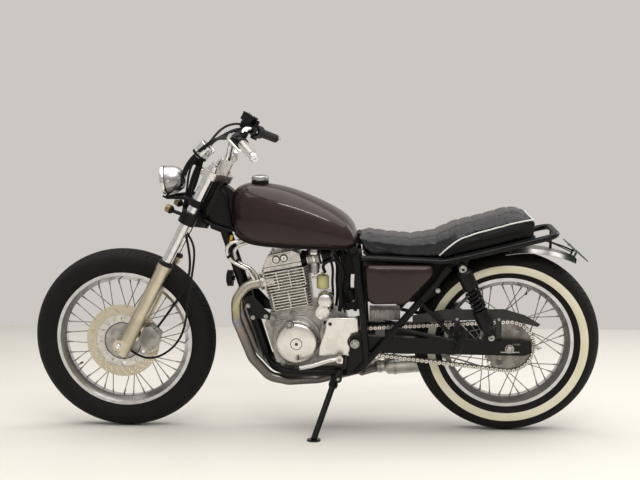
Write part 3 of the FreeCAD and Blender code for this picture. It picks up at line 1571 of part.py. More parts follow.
def make_exhaust():
    """Two headers from the ports, one on each side of the downtube, into a collector and muffler."""
    elbow = point(-222, s.muffler_y, 196)
    end = point(-452, s.muffler_y, 216)
    along = (end - elbow).normalize()
    start = elbow + along * 46
    headers = []
    for tag, side, low_points in (("left", 1, [point(90, 68, 197), point(-20, 40, 196)]),
                                  ("right", -1, [point(90, -74, 197), point(-60, -80, 196)])):
        port = CYLINDER.multVec(point(s.fin_top_length / 2 + s.fit_gap, side * s.port_y, s.port_height))
        straight = CYLINDER.multVec(point(s.fin_top_length / 2 + 60, side * s.port_y, s.port_height))
        headers.append(tube(f"{tag}_header", [
            port,
            straight,
            point(280, side * 66, 500),
            point(277, side * 72, 424),
            point(222, side * 72, 282),
            point(160, side * 72, 213),
        ] + low_points + [point(-196, -108, 196)], s.header_r, s.header_bend_r))
    collector = tube("collector", [point(-172, -84, 196), elbow, start], 26, 60)
    node("exhaust_headers", welded("exhaust_headers", headers + [collector]))
    neck = cone("muffler_neck", 26, s.muffler_r, 34, start, along)
    can = rod("muffler_can", s.muffler_r, start + along * 34, end)
    node("muffler", joined("muffler", [neck, can]))


# Bodywork


def make_tank():
    """Fuel tank, lofted through cross sections, with the tunnel that clears the backbone."""
    stations = [
        (292, 770, 885, 46),
        (262, 736, 909, 78),
        (205, 716, 921, 108),
        (90, 706, 903, 124),
        (-40, 702, 851, 126),
        (-125, 700, 798, 116),
        (-164, 706, 742, 96),
    ]
    sections = []
    for x, low, high, half in stations:
        rise = high - low
        corners = [
            (half * 0.86, low),
            (half, low + rise * 0.16),
            (half * 0.98, low + rise * 0.5),
            (half * 0.82, low + rise * 0.8),
            (half * 0.42, high - rise * 0.03),
            (0, high),
        ]
        ring = [point(x, y, z) for y, z in corners]
        ring += [flipped(spot) for spot in reversed(ring[:-1])]
        sections.append(Part.makePolygon(ring + ring[:1]))
    shell = coded("tank_shell", Part.makeLoft(sections, True, True))
    tunnel_body = new_body("tank_tunnel")
    high, low = backbone_line()
    slope = (high.z - low.z) / (high.x - low.x)
    roof = (s.backbone_r + s.tank_clearance) * math.sqrt(1 + slope * slope)
    sketch = outline(tunnel_body, "XZ_Plane", [
        (310, low.z + (310 - low.x) * slope + roof),
        (310, 690),
        (-180, 690),
        (-180, low.z + (-180 - low.x) * slope + roof),
    ], -s.tunnel_half_width)
    pad(tunnel_body, sketch, s.tunnel_half_width * 2)
    node("fuel_tank", cut_by("fuel_tank", shell, tunnel_body))
    lid = cylinder("fuel_cap", 31, 28, point(190, 0, 921.3), Z_AXIS)
    node("fuel_cap", lid)


def make_seat():
    corners = [
        (-170, 752),
        (-266, 736),
        (-354, 728),
        (-436, 740),
        (-514, 775),
        (-605, 797),
        (-718, 815),
        (-782, 812),
        (-800, 790),
        (-796, 742),
        (-772, 735),
        (-556, 681),
        (-478, 662),
        (-206, 672.4),
        (-186, 704),
    ]
    body = plate("seat_block", corners, s.seat_half_width, s.seat_half_width * 2)
    flank = new_body("seat_flank")
    sketch = outline(flank, "XY_Plane", [
        (-160, s.seat_nose_half_width),
        (-160, s.seat_half_width + 10),
        (-460, s.seat_half_width + 10),
        (-460, s.seat_half_width),
        (-300, s.seat_nose_half_width + 14),
    ], 600)
    pad(flank, sketch, 300)
    node("seat", cut_by("seat", body, both_sides("seat_flanks", flank)))


def make_side_covers():
    corners = [
        (-192, 642),
        (-426, 639),
        (-436, 612),
        (-338, 504),
        (-216, 500),
        (-199, 516),
        (-188, 581),
    ]
    panel = plate("side_panel", corners, s.side_cover_y, s.side_cover_thickness)
    peg = rod("side_panel_peg", 7, point(-250, 92, 600), point(-250, s.side_cover_y - 5, 600))
    peg_low = rod("side_panel_low_peg", 7, point(-300, 92, 540), point(-300, s.side_cover_y - 5, 540))
    cover = joined("side_cover", [panel, peg, peg_low])
    node("side_covers", both_sides("side_covers", cover))
    tube_x = along_line(upright_line()[1:], 0.44).x
    half = 92 - s.fit_gap
    tray = block("battery_box", (-390, -half, 500), (tube_x - s.battery_tube_r - s.fit_gap, half, 630))
    node("battery_box", tray)


def make_rear_fender():
    """Short chromed fender over the back of the rear tyre."""
    r = s.fender_r
    w = s.fender_half_width
    t = s.fender_thickness
    skin = turned("rear_fender", [
        (r - 16, -w),
        (r - 4, -w * 0.7),
        (r, 0),
        (r - 4, w * 0.7),
        (r - 16, w),
        (r - 16 - t, w),
        (r - 4 - t, w * 0.7),
        (r - t, 0),
        (r - 4 - t, -w * 0.7),
        (r - 16 - t, -w),
    ], 36)
    place = Placement(point(s.fender_x, 0, s.fender_z), Rotation(Y_AXIS, -114.9))
    node("rear_fender", skin, place)


def make_chain_guard():
    y = s.arm_inner_y + 4
    guard = plate("chain_guard_skin", [
        (-360, 452),
        (-470, 474),
        (-686, 477),
        (-760, 455),
        (-815, 422),
        (-806, 412),
        (-700, 440),
        (-460, 432),
        (-362, 424),
    ], y, 3)
    tabs = []
    for x in (-520, -668):
        foot_back = arm_top(x - 10) + s.fit_gap
        foot_front = arm_top(x + 10) + s.fit_gap
        corners = [(x - 10, 445), (x - 10, foot_back), (x + 10, foot_front), (x + 10, 445)]
        tabs.append(plate("chain_guard_tab", corners, y, 3))
    node("chain_guard", joined("chain_guard", [guard] + tabs))


def make_footrests():
    """The rider's rests beside the engine and the passenger's on their braced hangers."""
    inner = s.cradle_y + 6 + s.cradle_r + s.fit_gap
    peg = rod("rider_peg", 12, point(-98, inner + 6, 246), point(-98, 222, 250))
    lug = plate("rider_peg_lug", [(-84, 232), (-84, 264), (-108, 264), (-108, 232)], inner + 14, 14)
    rider = joined("rider_footrest", [peg, lug])
    beside = Y_AXIS * float(s.cradle_r + s.hanger_r + s.fit_gap)
    apex = point(-518, 158, 372)
    upper = rod("hanger_upper", s.hanger_r, along_line(diagonal_line(), 0.62) + beside, apex)
    lower = rod("hanger_lower", s.hanger_r, along_line(diagonal_line(), 0.32) + beside, apex)
    fold = rod("passenger_peg", 13, point(-512, 170, 340), point(-546, 172, 414))
    boss = rod("passenger_boss", 10, apex - Y_AXIS * 6, apex + Y_AXIS * 14)
    passenger = joined("passenger_footrest", [upper, lower, fold, boss])
    left = together("left_footrests", [rider, passenger])
    node("footrests", both_sides("footrests", left))


def make_foot_levers():
    """Shift lever on the left and brake pedal on the right."""
    shaft = rod("shift_shaft", 7, point(-100, s.case_left_y + s.fit_gap, 302), point(-100, 158, 302))
    arm = rod("shift_arm", 6, point(-100, 150, 302), point(52, 154, 269))
    toe = rod("shift_toe", 9, point(52, 148, 269), point(52, 186, 269))
    shift = joined("shift_lever", [shaft, arm, toe])
    pivot = rod("brake_shaft", 8, point(-150, -s.pivot_tube_y - s.fit_gap, 292), point(-150, -162, 292))
    back_arm = rod("brake_back_arm", 6, point(-150, -155, 292), point(-30, -155, 262))
    front_arm = rod("brake_front_arm", 6.5, point(-36, -155, 262), point(72, -158, 264))
    pad_piece = rod("brake_pad", 11, point(72, -150, 265), point(72, -186, 265))
    brake = joined("brake_pedal", [pivot, back_arm, front_arm, pad_piece])
    node("foot_levers", together("foot_levers", [shift, brake]))


def make_horn():
    disc = cylinder("horn_disc", 30, 20, point(297, 0, 566), X_AXIS)
    neck = cylinder("horn_neck", 9, 8, point(289.9, 0, 566), X_AXIS)
    node("horn", joined("horn", [disc, neck]))


def make_tail():
    """Blank number plate above the fender's end, on two short stays."""
    middle = point(-946, 0, 672)
    place = Placement(middle, Rotation(Y_AXIS, -41))
    board = block("plate_board", (-39, -90, 0), (39, 90, 2.5))
    board.Placement = place.multiply(board.Placement)
    centre = point(s.fender_x, 0, s.fender_z)
    inward = (centre - middle).normalize()
    reach = (centre - middle).Length - float(s.fender_r) + 2
    stays = []
    for tag, y in (("left", 30), ("right", -30)):
        start = middle + Y_AXIS * y
        stays.append(rod(f"plate_stay_{tag}", 4, start, start + inward * reach))
    node("number_plate", joined("number_plate", [board] + stays))


# Side stand


def make_side_stand():
    pivot, axis = stand_line()
    ground = float(s.stand_foot_y - s.crown_half) * math.tan(math.radians(float(s.lean_angle)))
    foot = point(s.stand_foot_x, s.stand_foot_y, ground)
    up = LEAN.Rotation.inverted().multVec(Z_AXIS)
    sole = cylinder("stand_sole", s.stand_foot_r, s.stand_foot_thickness, foot, up)
    leg = rod("stand_leg", s.stand_leg_r, pivot, foot + up * float(s.stand_foot_thickness))
    half = axis * float(s.stand_eye_half)
    eye = rod("stand_eye", s.stand_eye_r, pivot - half, pivot + half)
    hole = rod("stand_hole", s.stand_pin_r + s.fit_gap, pivot - half * 3, pivot + half * 3)
    node("side_stand", cut_by("side_stand", joined("side_stand_solid", [sole, leg, eye]), hole))


def finish():
    """Lean every sub-part into place, check it and write it."""
    doc.recompute()
    for label, (made, place) in nodes.items():
        made.Placement = LEAN.multiply(place).multiply(made.Placement)
    doc.recompute()
    for item in doc.Objects:
        for word in ("Invalid", "Error"):
            if word in item.State:
                raise RuntimeError(f"{item.Name} is {item.State}")
    os.makedirs("parts", exist_ok=True)
    box = FreeCAD.BoundBox()
    for label, (made, place) in nodes.items():
        shape = made.Shape
        if shape.isNull() or not shape.isValid():
            raise RuntimeError(f"{label} has no valid shape")
        box.add(shape.BoundBox)
        shape.exportStep(f"parts/{label}.step")
    print(f"{len(nodes)} sub-parts, from {box.XMin:.1f} {box.YMin:.1f} {box.ZMin:.1f}"
          f" to {box.XMax:.1f} {box.YMax:.1f} {box.ZMax:.1f}")


make_front_wheel()
make_rear_wheel()
make_front_sprocket()
make_drive_chain()
make_sliders()
make_fork_tubes()
make_yokes()
make_front_axle()
make_caliper()
make_handlebar()
make_grips()
make_controls()
make_front_cables()
make_headlamp()
make_speedometer()
make_front_signals()
make_main_frame()
make_rear_frame()
make_swingarm()
make_rear_axle()
make_brake_plate()
make_shocks()
make_crankcase()
make_engine_covers()
make_cylinder()
make_cylinder_head()
make_carburettor()
make_starter()
make_exhaust()
make_tank()
make_seat()
make_side_covers()
make_rear_fender()
make_chain_guard()
make_footrests()
make_foot_levers()
make_horn()
make_tail()
make_side_stand()
finish()
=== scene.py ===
"""Looks of the parked cafe racer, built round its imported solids."""
from math import asin, atan2, copysign, cos, degrees, exp, pi, radians, sin, tan, tau

import bmesh
import bpy
import numpy as np
from mathutils import Matrix, Vector


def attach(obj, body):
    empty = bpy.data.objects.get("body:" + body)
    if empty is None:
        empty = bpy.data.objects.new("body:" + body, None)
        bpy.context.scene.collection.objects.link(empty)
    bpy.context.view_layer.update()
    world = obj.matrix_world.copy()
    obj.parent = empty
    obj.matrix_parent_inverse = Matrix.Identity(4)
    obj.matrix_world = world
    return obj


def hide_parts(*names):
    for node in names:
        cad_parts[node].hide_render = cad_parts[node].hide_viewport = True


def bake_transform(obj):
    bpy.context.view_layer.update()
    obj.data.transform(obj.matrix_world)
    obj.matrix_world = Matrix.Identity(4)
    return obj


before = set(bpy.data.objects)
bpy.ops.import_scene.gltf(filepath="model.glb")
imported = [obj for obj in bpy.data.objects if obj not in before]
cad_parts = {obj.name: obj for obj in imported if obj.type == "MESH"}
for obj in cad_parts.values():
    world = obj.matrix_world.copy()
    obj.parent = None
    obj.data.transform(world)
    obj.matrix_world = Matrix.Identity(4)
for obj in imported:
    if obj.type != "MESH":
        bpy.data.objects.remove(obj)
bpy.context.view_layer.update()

# Frames. Everything is drawn in millimetres in the frame of its wheel, fork or barrel,
# and each frame then leans it to the left, onto the side stand, and turns it into metres.
# Angles are in degrees, and the places of axles are (x, z).

LEAN, RAKE, BORE_TILT = 8, 27.7, 10.7
STANCE = (-1, -152, 11 * sin(radians(LEAN)))
FRONT_AXLE, REAR_AXLE, FRONT_SPROCKET = (705, 338), (-705, 336), (-88, 356)
SHOCK_TOP, SHOCK_FOOT = (-533, 634), (-636, 388)
FORK_OFFSET = 57
LEG_X, LEG_Y = 38, 97
CRANK_X, CRANK_Z = 56, 349
INLET = (-66, 34, 166)


def shift(x, y, z):
    return Matrix.Translation((x, y, z))


def turn(angle, axis):
    """A turn by an angle in degrees."""
    return Matrix.Rotation(radians(angle), 4, axis)


def polar(radius, angle):
    return radius * cos(angle), radius * sin(angle)


UPRIGHT = Matrix.Scale(0.001, 4) @ shift(*STANCE) @ turn(-LEAN, "X")
FRONT = UPRIGHT @ shift(FRONT_AXLE[0], 0, FRONT_AXLE[1])
REAR = UPRIGHT @ shift(REAR_AXLE[0], 0, REAR_AXLE[1])
FORK = FRONT @ shift(-FORK_OFFSET * cos(radians(RAKE)), 0, -FORK_OFFSET * sin(radians(RAKE))) @ turn(-RAKE, "Y")
BARREL = UPRIGHT @ shift(74, 0, 466) @ turn(BORE_TILT, "Y")
ALONG_AXLE = turn(-90, "X")
LAMP = FORK @ shift(184, 0, 598) @ turn(RAKE + 9, "Y") @ turn(-90, "Z") @ ALONG_AXLE
MIRROR = Matrix.Scale(-1, 4, (0, 1, 0))


def leftward(x, y, z):
    """A frame of the machine whose Z points to its left."""
    return UPRIGHT @ shift(x, y, z) @ ALONG_AXLE


def rightward(x, y, z):
    return UPRIGHT @ shift(x, y, z) @ turn(90, "X")


def aim(start, toward):
    """A frame at start whose Z points along a direction."""
    return Matrix.Translation(start) @ Vector(toward).to_track_quat("Z", "Y").to_matrix().to_4x4()


# Shader maths


class Value:
    """A socket of a material that can be used in sums."""

    def __init__(self, finish, socket):
        self.finish = finish
        self.socket = socket

    def sum(self, operation, *values):
        return self.finish.node("ShaderNodeMath", {"operation": operation}, values)

    def __add__(self, other):
        return self.sum("ADD", self, other)

    def __sub__(self, other):
        return self.sum("SUBTRACT", self, other)

    def __rsub__(self, other):
        return self.sum("SUBTRACT", other, self)

    def __mul__(self, other):
        return self.sum("MULTIPLY", self, other)

    def power(self, exponent):
        return self.sum("POWER", self, exponent)

    def wave(self):
        return self.sum("SINE", self)

    def between(self, low, high, start=0.0, end=1.0):
        """This value mapped smoothly from low..high to start..end."""
        return self.finish.node("ShaderNodeMapRange", {"interpolation_type": "SMOOTHSTEP"},
            {"Value": self, "From Min": low, "From Max": high, "To Min": start, "To Max": end})


class Finish:
    """One material; where() is a place on the object in metres, in the row frame at rest."""

    def __init__(self, name, **fixed):
        self.material = bpy.data.materials.new(name)
        self.material.use_nodes = True
        self.tree = self.material.node_tree
        self.shader = self.tree.nodes["Principled BSDF"]
        self.set(**fixed)

    def node(self, kind, settings=None, inputs=(), output=0):
        made = self.tree.nodes.new(kind)
        for key, value in (settings or {}).items():
            if key == "stops":
                ramp = made.color_ramp.elements
                while len(ramp) < len(value):
                    ramp.new(0.5)
                for stop, (place, colour) in zip(ramp, value):
                    stop.position = place
                    stop.color = (*colour, 1)
            else:
                setattr(made, key, value)
        pairs = inputs.items() if isinstance(inputs, dict) else enumerate(inputs)
        for key, value in pairs:
            self.feed(made.inputs[key], value)
        return Value(self, made.outputs[output])

    def feed(self, socket, value):
        if isinstance(value, Value):
            self.tree.links.new(value.socket, socket)
        elif socket.type == "RGBA" and len(value) == 3:
            socket.default_value = (*value, 1)
        else:
            socket.default_value = value

    def set(self, **inputs):
        for key, value in inputs.items():
            self.feed(self.shader.inputs[key.replace("_", " ").title().replace("Ior", "IOR")], value)

    def where(self):
        return self.node("ShaderNodeTexCoord", output="Object")

    def local(self, place):
        """The place in a frame of this script, in millimetres."""
        parts = []
        for row in place.inverted()[:3]:
            along = {0: self.where(), 1: tuple(row[:3])}
            parts.append(self.node("ShaderNodeVectorMath", {"operation": "DOT_PRODUCT"}, along, "Value") + row[3])
        return parts

    def grain(self, scale, detail=4.0, stretch=(1, 1, 1)):
        spread = self.node("ShaderNodeMapping", None, {"Vector": self.where(), "Scale": stretch})
        return self.node("ShaderNodeTexNoise", None, {"Vector": spread, "Scale": scale, "Detail": detail})

    def cells(self, scale):
        return self.node("ShaderNodeTexVoronoi", None, {"Vector": self.where(), "Scale": scale})

    def blend(self, factor, first, second):
        return self.node("ShaderNodeMix", {"data_type": "RGBA"}, {0: factor, 6: first, 7: second}, output=2)

    def bump(self, height, strength, depth=0.001):
        inputs = {"Strength": strength, "Distance": depth, "Height": height}
        self.set(normal=self.node("ShaderNodeBump", None, inputs))


def metal(name, pale, dark, rough, spread, scale=60, pits=0.0, **fixed):
    """Bare or plated metal, with uneven polish, faint staining and fine scratches or cast pits."""
    finish = Finish(name, metallic=1.0, **fixed)
    patches = finish.grain(scale, 5)
    hairs = finish.grain(900, 2, (1, 1, 6))
    finish.set(base_color=finish.blend(patches.between(0.35, 0.7), pale, dark),
        roughness=patches * spread + hairs * (spread * 0.5) + (rough - spread * 0.6))
    if pits:
        finish.bump(finish.grain(1400, 3) + patches * 0.3, pits, 0.0006)
    else:
        finish.bump(hairs, 0.03, 0.0003)
    return finish.material


def lacquer(name, colour, rough, scale=40, peel=0.05, flakes=0.0, **fixed):
    """Paint under a clear coat, with dust, slight peel and, for metallic paint, flakes."""
    finish = Finish(name, coat_roughness=0.06, **fixed)
    haze = finish.grain(scale, 5)
    pale = tuple(min(1.0, part * 1.7 + 0.001) for part in colour)
    base = finish.blend(haze.between(0.3, 0.8, 0.0, 0.4), colour, pale)
    if flakes:
        sparkle = finish.cells(2600).between(0.55, 0.8, 0.0, flakes)
        base = finish.blend(sparkle, base, tuple(min(1.0, part * 6 + 0.02) for part in colour))
    finish.set(base_color=base, roughness=haze * 0.12 + rough)
    finish.bump(finish.grain(260, 2), peel, 0.0006)
    return finish.material


def rubber(name, colour, rough, scale=500, dust=0.35):
    """Rubber or vinyl with a film of dust."""
    finish = Finish(name, specular_ior_level=0.2)
    film = finish.grain(22, 6)
    pale = tuple(part * 1.8 + 0.004 for part in colour)
    finish.set(base_color=finish.blend(film.between(0.45, 0.75, 0.0, dust), colour, pale),
        roughness=film * 0.2 + rough)
    finish.bump(finish.grain(scale, 3), 0.12, 0.0005)
    return finish.material


def whitewall_finish():
    """Cream rubber, yellowed and stained in places."""
    finish = Finish("whitewall_cream", specular_ior_level=0.3)
    stain = finish.grain(9, 6)
    base = finish.blend(stain.between(0.35, 0.75), (0.84, 0.79, 0.64), (0.76, 0.71, 0.50))
    finish.set(base_color=base, roughness=finish.grain(90) * 0.2 + 0.5)
    finish.bump(finish.grain(400), 0.1, 0.0004)
    return finish.material


RIB_PITCH = 43.5
RIB_START = 226


def hide_finish():
    """Near-black hide with a pebbled grain and stitched seams, shinier where it is worn."""
    finish = Finish("seat_hide", coat_roughness=0.22, coat_weight=0.22, specular_ior_level=0.24)
    wear = finish.grain(26, 5)
    pebbles = finish.cells(900)
    along = finish.local(UPRIGHT)[0] * (1 / RIB_PITCH) + (RIB_START / RIB_PITCH + 20)
    seam = finish.node("ShaderNodeMath", {"operation": "ABSOLUTE"},
        [finish.node("ShaderNodeMath", {"operation": "FRACT"}, [along]) - 0.5]).between(0.455, 0.5)
    worn = finish.blend(wear.between(0.35, 0.75), (0.008, 0.008, 0.010), (0.016, 0.016, 0.020))
    finish.set(base_color=finish.blend(seam, worn, (0.004, 0.004, 0.005)),
        roughness=0.38 - wear * 0.20 + pebbles * 0.1)
    finish.bump(pebbles * 0.8 + finish.grain(300) * 0.5 - seam * 4.0, 0.35, 0.0006)
    return finish.material


def header_finish():
    """Steel header, straw and blue at the first bend, dull grey along the bottom run."""
    finish = Finish("header_steel", metallic=1.0)
    heat = finish.local(UPRIGHT)[2].between(250, 560) + finish.grain(30) * 0.16 - 0.08
    tint = finish.node("ShaderNodeValToRGB", {"stops": [(0.0, (0.16, 0.15, 0.14)), (0.3, (0.22, 0.20, 0.18)),
        (0.46, (0.30, 0.24, 0.20)), (0.58, (0.26, 0.26, 0.36)), (0.70, (0.38, 0.34, 0.20)),
        (0.86, (0.50, 0.46, 0.30)), (1.0, (0.42, 0.40, 0.35))]}, {"Fac": heat})
    finish.set(base_color=tint, roughness=finish.grain(70) * 0.25 + 0.22)
    finish.bump(finish.grain(900), 0.05, 0.0004)
    return finish.material


def ground_disc_finish():
    """Disc swept by its pads: fine rings and a light bronze tint."""
    finish = Finish("disc_bronze", metallic=1.0)
    x, _, z = finish.local(FRONT)
    radius = (x * x + z * z).power(0.5)
    rings = (radius * 5.0 + finish.grain(40) * 6).wave() * 0.5 + 0.5
    finish.set(base_color=finish.blend(finish.grain(30), (0.60, 0.54, 0.42), (0.50, 0.44, 0.33)),
        roughness=rings * 0.16 + 0.30)
    finish.bump(rings, 0.12, 0.0002)
    return finish.material


def glass_finish(colour):
    """Clear glass with a thin film of dust."""
    finish = Finish("clear_glass", transmission_weight=1.0, ior=1.45)
    film = finish.grain(40)
    finish.set(base_color=finish.blend(film, colour, tuple(part * 0.94 for part in colour)),
        roughness=film * 0.05 + 0.03)
    return finish.material


CHROME = metal("chrome_plate", (0.74, 0.74, 0.75), (0.62, 0.63, 0.65), 0.07, 0.05)
LAMP_CHROME = metal("lamp_plate", (0.44, 0.44, 0.45), (0.33, 0.33, 0.34), 0.27, 0.12, 30)
FENDER_PLATE = metal("fender_plate", (0.42, 0.42, 0.41), (0.28, 0.27, 0.26), 0.38, 0.16, 20)
RIM_CHROME = metal("rim_plate", (0.62, 0.62, 0.63), (0.50, 0.50, 0.52), 0.16, 0.10, 35)
POLISHED = metal("polished_alloy", (0.74, 0.72, 0.69), (0.66, 0.64, 0.61), 0.26, 0.10, 30)
CAST = metal("cast_alloy", (0.46, 0.45, 0.43), (0.30, 0.29, 0.28), 0.42, 0.16, 36, pits=0.25)
CASE_ALLOY = metal("case_alloy", (0.40, 0.39, 0.37), (0.20, 0.19, 0.18), 0.44, 0.18, 24, pits=0.3)
BARREL_ALLOY = metal("fin_alloy", (0.66, 0.64, 0.60), (0.50, 0.48, 0.45), 0.36, 0.14, 50, pits=0.15)
CASE_GREY = metal("case_grey", (0.09, 0.09, 0.095), (0.045, 0.045, 0.047), 0.46, 0.20, 45, pits=0.3)
STEEL = metal("plain_steel", (0.46, 0.45, 0.43), (0.28, 0.27, 0.25), 0.30, 0.16, 60)
SPOKE_STEEL = metal("spoke_steel", (0.30, 0.29, 0.28), (0.18, 0.17, 0.16), 0.34, 0.16, 60)
CHAIN_STEEL = metal("chain_steel", (0.82, 0.79, 0.74), (0.60, 0.57, 0.52), 0.30, 0.12, 40)
SPROCKET_STEEL = metal("sprocket_steel", (0.26, 0.25, 0.23), (0.15, 0.14, 0.13), 0.40, 0.20, 40)
MUFFLER_GREY = metal("muffler_grey", (0.56, 0.55, 0.52), (0.42, 0.41, 0.39), 0.30, 0.16, 30)
SLIDER = metal("slider_champagne", (0.62, 0.56, 0.43), (0.50, 0.45, 0.34), 0.32, 0.12, 20, coat_weight=0.5)
BROWN = lacquer("tank_brown", (0.0130, 0.0056, 0.0050), 0.30, 9, 0.006, 0.5, metallic=0.25, coat_weight=0.42,
    specular_ior_level=0.2)
BLACK_PAINT = lacquer("frame_black", (0.0030, 0.0030, 0.0034), 0.30, 40, 0.05, coat_weight=0.12,
    specular_ior_level=0.14)
SATIN_BLACK = lacquer("satin_black", (0.0045, 0.0045, 0.0048), 0.44, 60, 0.12, specular_ior_level=0.16)
MOULDED = lacquer("moulded_black", (0.0050, 0.0050, 0.0054), 0.42, 90, 0.25, specular_ior_level=0.18)
GUARD_GREY = lacquer("guard_grey", (0.012, 0.012, 0.012), 0.30, 60, 0.08, coat_weight=0.2, specular_ior_level=0.3)
PLATE_PAINT = lacquer("plate_paint", (0.05, 0.11, 0.08), 0.35, 60, 0.05)
TYRE_RUBBER = rubber("tyre_rubber", (0.0060, 0.0055, 0.0055), 0.62)
HOSE_RUBBER = rubber("hose_rubber", (0.0050, 0.0050, 0.0055), 0.36, 700, 0.2)
GRIP_RUBBER = rubber("grip_rubber", (0.030, 0.024, 0.022), 0.55, 900, 0.3)
WHITEWALL = whitewall_finish()
HIDE = hide_finish()
SIDE_VINYL = rubber("seat_side_vinyl", (0.0060, 0.0060, 0.0065), 0.60, 900, 0.2)
PIPING = rubber("piping_white", (0.72, 0.72, 0.70), 0.40, 1400, 0.1)
HEADER = header_finish()
DISC = ground_disc_finish()
GLASS = glass_finish((0.93, 0.96, 0.98))
AMBER = lacquer("amber_lens", (0.19, 0.14, 0.025), 0.25, coat_weight=0.6)
DIAL_BLACK = lacquer("dial_black", (0.008, 0.008, 0.009), 0.55)
DIAL_WHITE = lacquer("dial_white", (0.75, 0.75, 0.73), 0.5)
CONNECTOR = lacquer("connector_yellow", (0.75, 0.40, 0.03), 0.45)
RESERVOIR = lacquer("reservoir_cream", (0.55, 0.52, 0.24), 0.45)


# Shapes


def smooth(points, steps):
    """Points on a soft line through the given ones."""
    spots = [Vector(p) for p in points]
    line = []
    for a, b, c, d in zip(spots[:1] + spots, spots, spots[1:], spots[2:] + spots[-1:]):
        for step in range(steps):
            t = step / steps
            line.append(0.5 * (2 * b + (c - a) * t + (2 * a - 5 * b + 4 * c - d) * t * t
                + (3 * b - a - 3 * c + d) * t ** 3))
    return line + [spots[-1]]


def ring_of(radius, count, middle=(0, 0), start=0.0, angle=tau):
    """Corners spread evenly round a circle, or along an arc of it."""
    spots = (polar(radius, start + angle * k / count) for k in range(count))
    return [(middle[0] + x, middle[1] + y) for x, y in spots]


def round_corners(corners, radii, steps=6):
    """An outline whose corners are turned into arcs."""
    spots = [Vector(p).to_2d() for p in corners]
    line = []
    for k, (spot, radius) in enumerate(zip(spots, radii)):
        back = (spots[k - 1] - spot).normalized()
        ahead = (spots[(k + 1) % len(spots)] - spot).normalized()
        reach = radius / tan(back.angle(ahead) / 2)
        for step in range(steps + 1):
            t = step / steps
            start, end = spot + back * reach, spot + ahead * reach
            line.append(start * (1 - t) ** 2 + spot * 2 * t * (1 - t) + end * t * t)
    return line


